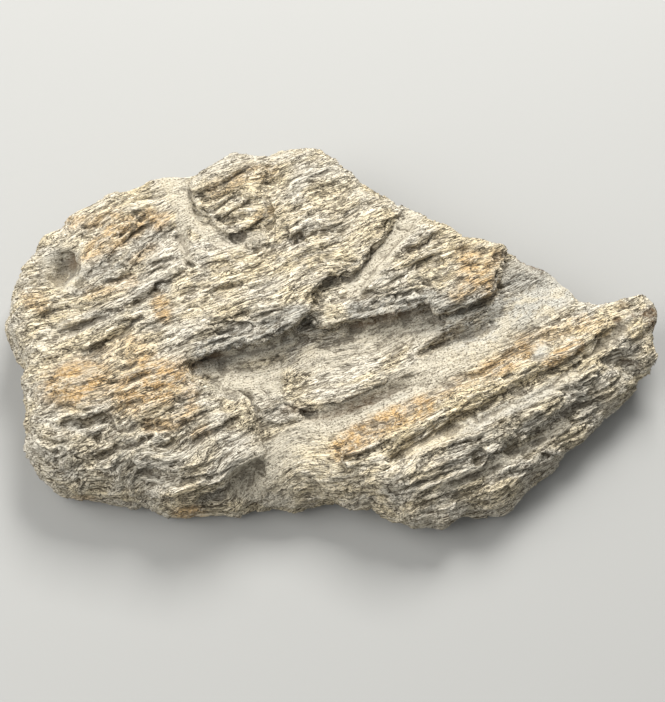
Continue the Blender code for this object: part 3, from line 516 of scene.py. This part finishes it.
carving = {
    # how far lines wander: mm, size of the bumps in mm, where the noise starts to the right and up
    "close": (0.5, 2.2, (33, 43)),
    "wide": (0.9, 4, (2, 12)),
    "small": (0.6, 1.8, (5, 15)),
    # how strong they are from place to place: size of the noise in mm, its start, mean, swing and limits
    "breaks": (6, 23, 0.75, 0.9, 0.15, 1.3),
    "grooveShape": 0.8,                         # 1 is a sharp V
    "creaseRise": 0.4,                          # share of the drop that its lip stands proud
    "creaseEdge": 0.35,                         # width of that lip's edge, mm
    "creaseSteady": 0.35, "creaseBroken": 0.6,
    "pitDepth": 0.65,                           # share of the depths in the list
    "turnedAway": 0.02, "turnedEnough": 0.2,    # how far a place faces the viewer
}


def carved(points, facing):
    # height to add for every broken edge, crack and pit, where the viewer can see it
    right, up = seenAt(points)
    wobble = np.column_stack([right, up, points[:, 2]])

    def wander(name, axis):
        width, size, starts = carving[name]
        return width * bumps(wobble, size, starts[axis])

    nearRight = right + wander("close", 0)
    nearUp = up + wander("close", 1)
    right = right + wander("wide", 0) + wander("small", 0)
    up = up + wander("wide", 1) + wander("small", 1)
    size, start, mean, swing, least, most = carving["breaks"]
    broken = np.clip(mean + swing * bumps(wobble, size, start), least, most)
    added = np.zeros(len(points))
    visible = np.nonzero(facing > carving["turnedAway"])[0]
    right, up, broken = right[visible], up[visible], broken[visible]
    nearRight, nearUp = nearRight[visible], nearUp[visible]
    total = np.zeros(len(visible))

    def nearby(line, reach):
        xs, ys = zip(*line)
        across = (right > min(xs) - reach) & (right < max(xs) + reach)
        return np.nonzero(across & (up > min(ys) - reach) & (up < max(ys) + reach))[0]

    for drop, reach, line in ledges.values():
        here = nearby(line, lip["reach"])
        off, fade, _ = alongLine(line, right[here], up[here])
        above = lip["rise"] * drop * smooth(1 - off / lip["reach"]) * smooth(off / lip["edge"] + 0.5)
        below = -drop * smooth(1 + off / reach) * smooth(0.5 - off / lip["edge"])
        total[here] += (above + below) * fade * broken[here]
    for depth, halfWidth, line in grooves.values():
        here = nearby(line, halfWidth)
        off, fade, _ = alongLine(line, right[here], up[here])
        section = np.clip(1 - np.abs(off) / halfWidth, 0, 1) ** carving["grooveShape"]
        total[here] -= depth * fade * broken[here] * section
    for drop, ramp, lines in creases.values():
        for line in lines:
            here = nearby(line, ramp + 1)
            off, fade, _ = alongLine(line, nearRight[here], nearUp[here])
            edge = off / carving["creaseEdge"]
            above = carving["creaseRise"] * smooth(1 - off / ramp) * smooth(edge + 0.5)
            below = -np.clip(1 + off / ramp, 0, 1) * smooth(0.5 - edge)
            strength = carving["creaseSteady"] + carving["creaseBroken"] * broken[here]
            total[here] += drop * fade * strength * (above + below)
    for rise, width, line in overhangs.values():
        here = nearby(line, width)
        off, fade, _ = alongLine(line, nearRight[here], nearUp[here])
        total[here] += rise * fade * smooth(1 - off / width) * smooth(off / lip["edge"] + 0.5)
    for x, y, halfLength, halfWidth, turn, depth in pits:
        here = nearby([(x, y)], halfLength + 1)
        away = fromOval(right[here], up[here], (x, y, halfLength, halfWidth, turn))
        total[here] -= carving["pitDepth"] * depth * smooth(softEdge["pits"] - away)
    added[visible] = total * smooth(facing[visible] / carving["turnedEnough"])
    return added


def roughnessAt(points):
    # 1 for plain split bone, less where it is worn smooth, more where it is splintered
    right, up = seenAt(points)
    rough = np.ones(len(points))
    for x, y, reach, value in wornSpots:
        share = smooth(softEdge["worn"] - np.hypot(right - x, up - y) / reach)
        rough += (value - rough) * share
    for value, halfWidth, line in wornBands.values():
        share = smooth(softEdge["worn"] - np.abs(alongLine(line, right, up)[0]) / halfWidth)
        rough += (value - rough) * share
    return rough


fragment = {
    "cell": 0.46,               # of the fine surface, mm
    "facetsOff": 10,            # rounds of smoothing that take the solid's facets off
    # sizes are in mm along the fibres, across them and up; heights and depths are in mm
    "wave": (9, 5, 5), "waveStart": 3, "waveAlong": 2,                  # bends of the fibres
    "ragged": (3.2, 1.7, 1.7), "raggedStart": 17, "raggedAcross": 0.5,
    "swell": (22, 5.5, 5.5), "swellHeight": 1.15, "swellStart": 21,
    "coarse": (14, 3, 3), "coarseHeight": 0.3,
    # fineOnWorn and smallOnWorn are the shares left where it is worn smooth
    "fine": (5, 1.6, 1.6), "fineHeight": 0.15, "fineStart": 9, "fineOnWorn": 0.25,
    "clefts": (11, 3.2, 3.2), "cleftDepth": 0.45, "cleftWidth": 0.1, "cleftStart": 31,
    "smallClefts": (5, 1.8, 1.8), "smallCleftDepth": 0.32, "smallCleftWidth": 0.16,
    "smallCleftStart": 47, "smallOnWorn": 0.2,
    "restsBelow": 1.5,          # mm above the shelf; lower down the surface goes back to the solid's
    "facesDown": -0.25,         # upward part of the normal below which a place is part of the underside
    "triangles": 192000,
    "underside": 0.12,          # share of them that the underside gets
    "firstRound": 1.5,          # times that many are left below by the first thinning
}


def makeFragment(node):
    mesh = withModifier(welded(node.data), "REMESH", mode="VOXEL", voxel_size=fragment["cell"] * mm)
    mesh = withModifier(mesh, "SMOOTH", factor=0.5, iterations=fragment["facetsOff"])
    print("fine mesh:", len(mesh.vertices), "points")

    points = pointsOf(mesh)
    points[:, 2] += lifted(points, normalsOf(mesh))
    movePoints(mesh, points)
    normals = normalsOf(mesh)
    toEye = eye - points
    toEye /= np.linalg.norm(toEye, axis=1)[:, None]
    facing = np.sum(normals * toEye, axis=1)
    rough = roughnessAt(points)
    places = grainPlaces(points)
    wave = bumps(places, fragment["wave"], fragment["waveStart"])
    ragged = bumps(places, fragment["ragged"], fragment["raggedStart"])
    along = wave * fragment["waveAlong"] + ragged
    across = wave + ragged * fragment["raggedAcross"]
    wavy = places + np.column_stack([along, across, across])

    height = carved(points, facing)
    height += fragment["swellHeight"] * rough * bumps(wavy, fragment["swell"], fragment["swellStart"])
    height += fragment["coarseHeight"] * rough * splinters(wavy, fragment["coarse"])
    least = fragment["fineOnWorn"]
    height += fragment["fineHeight"] * (least + (1 - least) * rough) * splinters(
        wavy, fragment["fine"], fragment["fineStart"])
    height -= fragment["cleftDepth"] * rough * clefts(
        wavy, fragment["clefts"], fragment["cleftWidth"], fragment["cleftStart"])
    least = fragment["smallOnWorn"]
    height -= fragment["smallCleftDepth"] * (least + (1 - least) * rough) * clefts(
        wavy, fragment["smallClefts"], fragment["smallCleftWidth"], fragment["smallCleftStart"])
    print("surface worked out")

    # nothing sinks below the surface that the fragment rests on
    moved = points + normals * height[:, None]
    resting = smooth(1 - points[:, 2] / fragment["restsBelow"])
    moved += (points - moved) * resting[:, None]
    movePoints(mesh, moved)

    # thinned first below, where little is seen, then all over
    below = np.where(normals[:, 2] < fragment["facesDown"], 1.0, 0.0)
    share = below.mean()
    mesh = withModifier(mesh, "TRIANGULATE")
    before = len(mesh.polygons)
    fewer = before * share - fragment["triangles"] * fragment["underside"] * fragment["firstRound"]
    mesh = withModifier(mesh, "DECIMATE", group=below, vertex_group_factor=1, ratio=1 - fewer / before)
    mesh = withModifier(mesh, "DECIMATE", ratio=fragment["triangles"] / len(mesh.polygons))
    underneath = sum(1 for face in mesh.polygons if face.normal.z < fragment["facesDown"])
    print("fragment:", before, "triangles thinned to", len(mesh.polygons), "with", underneath, "below")

    mesh.shade_smooth()
    piece = bpy.data.objects.new("fossil_frill_bone", mesh)
    bpy.context.scene.collection.objects.link(piece)
    paintPlaces(mesh)
    mesh.materials.clear()
    mesh.materials.append(weatheredBone())
    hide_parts(node.name)
    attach(piece, "root")
    return piece


# Stains, and painted shade in the grey and brown ones: (right, up, half length, half width, turn, strength)
stainsAndShade = {
    "ochre": [
        (-84, -15, 11, 7, 10, 1), (-60, -16, 13, 7, 20, 1), (-66, 37, 5, 3.4, 35, 0.7),
        (-57, 38.6, 4, 2.4, 30, 0.7), (-79, 28, 4, 2.4, 30, 0.7), (-56, 10, 3, 4.4, 20, 0.9),
        (48, 22, 5, 8, 30, 0.9), (9, -34, 8, 3, 35, 0.8), (25, -24.4, 7, 2.4, 28, 0.8),
        (63.5, -4.6, 3, 3, 40, 1), (76, -5.6, 4, 2, 35, 0.9), (-98, 12, 3, 4.6, 60, 0.6),
        (-43, -31, 4, 1.6, 20, 0.6), (-47, -58, 5, 2.4, 0, 0.8), (-82, -53.6, 4, 1.4, 0, 0.5),
        (38, -17, 8, 2, 28, 0.5), (-62, 28, 6, 2, 30, 0.4), (-36, 50, 6, 3, 25, 0.4),
        (-22, 41, 5, 1.6, 25, 0.5), (-72, -4, 8, 3, 20, 0.3),
    ],
    "yellow": [
        (52, 16.4, 4, 4, 30, 1), (89.6, 2.6, 2.4, 2, 30, 0.9), (-70, 40, 16, 8, 30, 0.5),
        (-30, 48, 14, 8, 25, 0.5), (-90, 12, 12, 10, 10, 0.5), (-40, 14, 16, 6, 22, 0.4),
        (40, 26, 14, 6, 30, 0.5), (60, -14, 30, 6, 27, 0.5), (30, -36, 16, 8, 25, 0.4),
        (102, 3, 4, 3, 40, 0.9), (0, -44, 12, 10, 0, 0.5), (60, 4, 20, 6, 30, 0.3),
        (-24, 40, 6, 3, 30, 0.6), (84, -8, 8, 4, 30, 0.4), (-60, -34, 20, 6, 10, 0.3),
        (10, 44, 14, 8, 30, 0.3),
    ],
    # grey: painted shade on the main wall, at the trough's left end and on the tongue's wall; grey tone
    # elsewhere
    "greyAndShade": [
        (-85, -29, 4, 1.8, 0, 0.9), (-42, -9, 5, 2.6, 20, 0.8), (83.6, 7, 4, 2.4, 20, 0.8),
        (84, 12.6, 2, 1.4, 0, 0.8), (69.6, -4.2, 3.2, 2.4, 20, 1), (-64, -38, 34, 9, 5, 0.5),
        (-28, 2, 20, 4, 18, 0.5), (20, 11, 14, 3.4, 18, 0.4), (80, -24, 22, 8, 40, 0.15),
        (60, -42, 18, 8, 30, 0.15), (30, 5, 5, 4, 0, 0.5), (-90, 24, 6, 6, 40, 0.6),
        (-78, -6, 6, 3, 0, 0.6), (20, -21, 6, 3, 20, 0.3), (50, 0, 12, 3, 30, 0.3),
        (-8, 2, 6, 4, 40, 0.5), (-95, -44, 6, 8, 0, 0.5), (70, 20, 10, 4, -20, 0.4),
    ],
    # brown: painted shadow under the tongue's lip, the main wall's lip and the ridges, and in the scoop's
    # upper wall; dark brown patches at the right end
    "brownAndShade": [
        (66, 25.6, 5, 1.6, -30, 1.0), (105.6, 8.4, 2.4, 1.8, 0, 0.9), (106.6, 4.4, 1.8, 1.6, 0, 1.0),
        (97, 11, 1.2, 1, 0, 0.8), (100.5, 7.5, 0.9, 0.8, 0, 0.8), (95, 6, 1.4, 1, 0, 0.7),
        (17, 6.4, 12, 1.4, 12, 0.6), (-41, -7.4, 5, 1.2, 24, 0.6), (99, -8, 4, 1.2, -20, 0.3),
        (-85.6, 25.6, 1.8, 2.6, 0, 0.5), (-12, -24, 5, 1.6, 0, 0.4), (8, -22.6, 12, 1.6, 20, 0.5),
        (36, -1.2, 8, 1.6, 30, 0.15),
    ],
}

# the same along lines, with painted shade in some grey ones: (strength, half width, points)
stainAndShadeBands = {
    "ochre": [
        (1, 3.4, [(3, -37), (8, -33), (14, -30), (22, -26), (31, -22.6)]),
        (0.9, 3, [(52, -11), (59, -7.6), (63.6, -4)]),
        (0.9, 2, [(72, -8.4), (77, -5), (82, -2.6)]),
        (0.5, 2, [(31, -22.6), (40, -17), (50, -11.6)]),
        (0.8, 2.4, [(-79, 29), (-72, 36), (-66, 38.4), (-58, 39)]),
        (0.7, 2.2, [(-73, 30), (-66, 36), (-60, 41)]),
        (0.6, 2.4, [(-88, 39), (-80, 38), (-72, 41)]),
        (0.5, 2, [(-80, 15), (-74, 15.6), (-66, 19)]),
        (0.5, 2.4, [(-34, 51), (-26, 55), (-20, 55)]),
        (0.6, 2.6, [(42, 15), (50, 20), (55, 27)]),
        (0.5, 2.6, [(62, -2), (72, 1), (84, 5), (90, 3)]),
        (0.5, 2.4, [(-66, -1), (-60, -6), (-52, -12), (-46, -19)]),
        (0.7, 2.4, [(-46, -24), (-52, -28), (-60, -29)]),
        (0.9, 2.4, [(-66, -6), (-58, -9), (-50, -14)]),
    ],
    "yellow": [
        (0.9, 2, [(-28, 39), (-19.5, 42.5)]),
        (0.7, 4, [(26, -30), (40, -22), (56, -15), (70, -10)]),
        (0.6, 4, [(-36, 24), (-28, 26), (-14, 24), (2, 28)]),
        (0.6, 4, [(60, 10), (70, 9), (80, 12)]),
        (0.7, 3, [(80, 4), (88, 6), (96, 9)]),
    ],
    # grey: painted shade along the main wall, under its lip and along the tongue's wall; grey tone elsewhere
    "greyAndShade": [
        (0.7, 4, [(-84, 18), (-70, 26), (-60, 33)]),
        (0.7, 3, [(-80, 5), (-66, 11), (-56, 17)]),
        (0.6, 3, [(44, -31), (58, -24), (72, -18)]),
        (1, 9, [(44, 6), (58, 12), (72, 17)]),
        (1, 3.4, [(8, 9), (20, 11), (33, 13)]),
        (1, 3.6, [(-43, -4.4), (-30, 0.6), (-18, 4), (-11, 8)]),
        (0.8, 2, [(-45, -9), (-38, -8), (-28, -4), (-14, 0)]),
        (0.6, 3, [(30, -42), (44, -36), (56, -32), (68, -26)]),
    ],
}


# Hollows darkened with painted shade: (rounds of smoothing that find them, depth in mm from shallowest to
# deepest)
hollowShade = {"small": (2, 0.3), "wide": (20, 1.4)}
stainsTurnAway = 0.3    # how far a place may turn away from the viewer before its stains are gone


def paintPlaces(mesh):
    # what the material reads at each point: place along the grain, hollows for painted shade, wear, and
    # stains with painted shade
    points, normals = pointsOf(mesh), normalsOf(mesh)
    right, up = seenAt(points)
    places = grainPlaces(points)
    lay = mesh.attributes.new("grain", "FLOAT_VECTOR", "POINT")
    lay.data.foreach_set("vector", places.astype(np.float32).ravel())

    def paint(name, values):
        mesh.attributes.new(name, "FLOAT", "POINT").data.foreach_set("value", values.astype(np.float32))

    def hollow(rounds, depth):
        mean = np.column_stack([spread(mesh, points[:, axis].copy(), rounds) for axis in range(3)])
        return np.clip(0.5 + np.sum((mean - points) * normals, axis=1) / depth, 0, 1)

    # painted shade: the further a point lies below its neighbours, the darker the material makes it
    paint("hollow", hollow(*hollowShade["small"]) * 0.5 + hollow(*hollowShade["wide"]) * 0.5)
    paint("rough", np.clip(roughnessAt(points) / 2, 0, 1))
    # stains and painted shade fade out where the surface turns away from the viewer
    seen = smooth(np.sum(normals * towardsViewer, axis=1) / stainsTurnAway + 1)
    for name, spots in stainsAndShade.items():
        amount = np.zeros(len(points))
        for *oval, strength in spots:
            share = smooth(softEdge["stainsAndShade"] - fromOval(right, up, oval))
            amount = np.maximum(amount, strength * share)
        for strength, halfWidth, line in stainAndShadeBands.get(name, []):
            share = smooth(softEdge["stainsAndShade"] - np.abs(alongLine(line, right, up)[0]) / halfWidth)
            amount = np.maximum(amount, strength * share)
        paint(name, amount * seen)


def colour(hexCode):
    parts = [int(hexCode[start:start + 2], 16) / 255 for start in (0, 2, 4)]
    linear = [part / 12.92 if part <= 0.04045 else ((part + 0.055) / 1.055) ** 2.4 for part in parts]
    return (*linear, 1)


def addNode(tree, kind, settings=None, **links):
    # one node: settings are its own properties or plain input values, links feed its inputs
    node = tree.nodes.new(kind)
    for key, value in (settings or {}).items():
        if hasattr(node, key):
            setattr(node, key, value)
        else:
            node.inputs[int(key) if key.isdigit() else key].default_value = value
    for key, source in links.items():
        socket = node.inputs[int(key[1:]) if key[1:].isdigit() else key.replace("_", " ")]
        tree.links.new(source, socket)
    return node


bone = {
    "chalk": "E7DFCE", "cream": "DDD5C3", "stone": "BCB39F", "shade": "554C3F",
    "ochre": "C6A472", "yellow": "E0CDA3", "greyAndShade": "B2AEA2", "brownAndShade": "5A4228",
    "roughness": 0.95, "specular": 0.15,
    # patterns: mm along the fibres, across them and up, then detail, its strength, and curl
    "patterns": {
        "clouds": ((14, 8, 8), 2, 0.5, 0),
        "blotches": ((5, 3, 3), 2, 0.6, 0),
        "streaks": ((10, 1.8, 1.8), 3, 0.6, 0.5),
        "splits": ((12, 1.9, 1.9), 3, 0.55, 0.6),
        "fibres": ((11, 0.85, 0.85), 2, 0.6, 0.35),
        "hairs": ((5, 0.55, 0.55), 1, 0.5, 0.6),        # real ones are 0.1 to 0.2 mm, drawn coarser to show
        "specks": ((0.65, 0.48, 0.48), 1, 0.6, 0),      # pores of 0.1 to 0.3 mm, drawn coarser too
    },
    # relief in mm
    "fibreHeight": 0.75, "hairHeight": 0.5, "speckHeight": 0.4, "streakHeight": 0.45, "splitDepth": 0.4,
}


def weatheredBone():
    # Mineralised bone, weathered and split along its fibres: chalky cream ridges, partly painted highlight,
    # clefts, pores and hollows darkened with painted shade, ochre iron stains on the high parts, and no
    # gloss at all
    material = bpy.data.materials.new("weathered fossil bone")
    material.use_nodes = True
    tree = material.node_tree
    shader = tree.nodes["Principled BSDF"]
    shader.inputs["Roughness"].default_value = bone["roughness"]
    shader.inputs["Specular IOR Level"].default_value = bone["specular"]

    painted = {}
    for name in ("grain", "hollow", "rough", *stainsAndShade):
        painted[name] = addNode(tree, "ShaderNodeAttribute", {"attribute_name": name})
    grainPlace = painted["grain"].outputs["Vector"]
    hollow, rough = painted["hollow"].outputs["Fac"], painted["rough"].outputs["Fac"]

    pattern = {}
    for name, (size, detail, strength, curl) in bone["patterns"].items():
        scaled = addNode(tree, "ShaderNodeVectorMath", {"operation": "DIVIDE", "1": size}, _0=grainPlace)
        cloud = addNode(tree, "ShaderNodeTexNoise", {
            "Scale": 1, "Detail": detail, "Roughness": strength, "Distortion": curl,
        }, Vector=scaled.outputs[0])
        pattern[name] = cloud.outputs["Fac"]
    # splits and gaps between fibres follow the middle value of their pattern; both are darkened with painted
    # shade
    folded = {}
    for name in ("splits", "fibres"):
        folded[name] = addNode(tree, "ShaderNodeMath", {
            "operation": "PINGPONG", "1": 0.5}, _0=pattern[name]).outputs[0]

    # shares from the patterns: source, the values between which it counts, and the share at each of them
    share = {}
    for name, (source, low, high, least, most) in {
        "cream": (pattern["streaks"], 0.35, 0.62, 0, 1),
        "warm": (pattern["clouds"], 0.4, 0.65, 0, 0.6),
        "stained": (pattern["blotches"], 0.38, 0.58, 0.35, 1),
        "unstained": (pattern["blotches"], 0.65, 0.4, 0.5, 1),
        # chalk on the fibre tops: partly chalky tone, partly painted highlight
        "chalkAndHighlight": (pattern["fibres"], 0.54, 0.68, 0, 0.4),
        # painted shade in the low hair lines, the gaps between fibres, the pores and the splits; the glint
        # is painted highlight on the specks
        "hairShade": (pattern["hairs"], 0.43, 0.32, 0, 0.9),
        "gap": (folded["fibres"], 0.46, 0.49, 0, 0.8),
        "speck": (pattern["specks"], 0.44, 0.34, 0, 0.75),
        "glint": (pattern["specks"], 0.55, 0.64, 0, 0.35),
        "split": (folded["splits"], 0.48, 0.498, 0, 1),
        "splitHere": (pattern["clouds"], 0.35, 0.6, 0.2, 1),
        # painted shade in the hollows
        "deep": (hollow, 0.6, 0.86, 0, 0.55),
        "worn": (rough, 0.45, 0.15, 0, 1),
        "splintered": (rough, 0.05, 0.45, 0.1, 1),
        "fine": (rough, 0.1, 0.5, 1, 0.6),
    }.items():
        share[name] = addNode(tree, "ShaderNodeMapRange", {
            "interpolation_type": "SMOOTHSTEP", "1": low, "2": high, "3": least, "4": most,
        }, _0=source).outputs[0]
    for name, first, second in (
        ("yellow", painted["yellow"].outputs["Fac"], share["stained"]),
        ("greyAndShade", painted["greyAndShade"].outputs["Fac"], share["unstained"]),
        ("ochre", painted["ochre"].outputs["Fac"], share["stained"]),
        ("brownAndShade", painted["brownAndShade"].outputs["Fac"], share["stained"]),
        ("chalkAndHighlight", share["chalkAndHighlight"], share["splintered"]),
        ("hairShade", share["hairShade"], share["splintered"]),
        ("gap", share["gap"], share["splintered"]),
        ("splitHere", share["splitHere"], share["splintered"]),
        ("speck", share["speck"], share["fine"]),
        ("glint", share["glint"], share["fine"]),
    ):
        share[name] = addNode(tree, "ShaderNodeMath", {
            "operation": "MULTIPLY"}, _0=first, _1=second).outputs[0]
    share["split"] = addNode(tree, "ShaderNodeMath", {
        "operation": "MULTIPLY"}, _0=share["split"], _1=share["splitHere"]).outputs[0]

    # colours, each laid over those before it; the chalk over fibre tops and specks is partly painted
    # highlight, the shade colour is painted shade in hair lines, gaps, pores, splits and hollows, and the
    # grey and brown are partly painted shade
    shown = addNode(tree, "ShaderNodeMix", {
        "data_type": "RGBA", "6": colour(bone["stone"]), "7": colour(bone["cream"]),
    }, _0=share["cream"]).outputs[2]
    for tint, amount in (
        ("yellow", share["warm"]), ("stone", share["worn"]), ("yellow", share["yellow"]),
        ("greyAndShade", share["greyAndShade"]), ("ochre", share["ochre"]), ("chalk", share["chalkAndHighlight"]),
        ("chalk", share["glint"]), ("shade", share["hairShade"]), ("shade", share["gap"]),
        ("shade", share["speck"]), ("shade", share["split"]), ("shade", share["deep"]),
        ("brownAndShade", share["brownAndShade"]),
    ):
        shown = addNode(tree, "ShaderNodeMix", {
            "data_type": "RGBA", "7": colour(bone[tint])}, _0=amount, _6=shown).outputs[2]
    tree.links.new(shown, shader.inputs["Base Color"])

    # heights in mm, added up
    height = addNode(tree, "ShaderNodeMath", {
        "operation": "MULTIPLY", "1": bone["speckHeight"]}, _0=pattern["specks"]).outputs[0]
    rounded = addNode(
        tree, "ShaderNodeMath", {"operation": "MULTIPLY"}, _0=pattern["fibres"], _1=share["splintered"])
    for source, factor in (
        (rounded.outputs[0], bone["fibreHeight"]), (pattern["hairs"], bone["hairHeight"]),
        (pattern["streaks"], bone["streakHeight"]), (share["split"], -bone["splitDepth"]),
    ):
        height = addNode(tree, "ShaderNodeMath", {
            "operation": "MULTIPLY_ADD", "1": factor}, _0=source, _2=height).outputs[0]
    bump = addNode(tree, "ShaderNodeBump", {"Strength": 1, "Distance": mm}, Height=height)
    tree.links.new(bump.outputs["Normal"], shader.inputs["Normal"])
    return material


studio = {
    "floor": "A09F9B", "floorRoughness": 0.9,
    "floorSize": 6.0,                           # this and the places below are in metres
    "lights": {                                 # (place, size, watts)
        "window light from behind": ((0.2, 0.74, 0.75), 0.45, 16.8),
        "weak light from the left": ((-0.75, 0, 0.7), 1.0, 12),
    },
    "lightsAim": (0, 0, 0.015),
    "sky": "B8BABC", "skyStrength": 0.83,
}


def paleFloor():
    # Matt emulsion paint, rolled on board: even, pale and without gloss
    material = bpy.data.materials.new("matt pale board")
    material.use_nodes = True
    shader = material.node_tree.nodes["Principled BSDF"]
    shader.inputs["Base Color"].default_value = colour(studio["floor"])
    shader.inputs["Roughness"].default_value = studio["floorRoughness"]
    return material


def setUpStudio():
    shape = bmesh.new()
    bmesh.ops.create_grid(shape, x_segments=1, y_segments=1, size=studio["floorSize"] / 2)
    mesh = bpy.data.meshes.new("floor")
    shape.to_mesh(mesh)
    shape.free()
    floor = bpy.data.objects.new("floor", mesh)
    mesh.materials.append(paleFloor())
    bpy.context.scene.collection.objects.link(floor)
    aimed = Vector(studio["lightsAim"])
    for name, (place, size, power) in studio["lights"].items():
        lamp = bpy.data.lights.new(name, "AREA")
        lamp.size = size
        lamp.energy = power
        holder = bpy.data.objects.new(name, lamp)
        holder.location = place
        holder.rotation_euler = (aimed - Vector(place)).to_track_quat("-Z", "Y").to_euler()
        bpy.context.scene.collection.objects.link(holder)
    world = bpy.data.worlds.new("studio")
    world.use_nodes = True
    world.node_tree.nodes["Background"].inputs["Color"].default_value = colour(studio["sky"])
    world.node_tree.nodes["Background"].inputs["Strength"].default_value = studio["skyStrength"]
    bpy.context.scene.world = world
    bpy.context.scene.view_settings.view_transform = "Standard"


def setUpCamera():
    lens = bpy.data.cameras.new("camera")
    lens.lens = viewer["lens"]
    camera = bpy.data.objects.new("camera", lens)
    camera.location = Vector(eye) * mm
    camera.rotation_euler = (-Vector(towardsViewer)).to_track_quat("-Z", "Y").to_euler()
    bpy.context.scene.collection.objects.link(camera)
    bpy.context.scene.camera = camera


setUpCamera()
setUpStudio()
print("camera and studio ready")
makeFragment(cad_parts["frill_fragment"])
print("fragment ready")
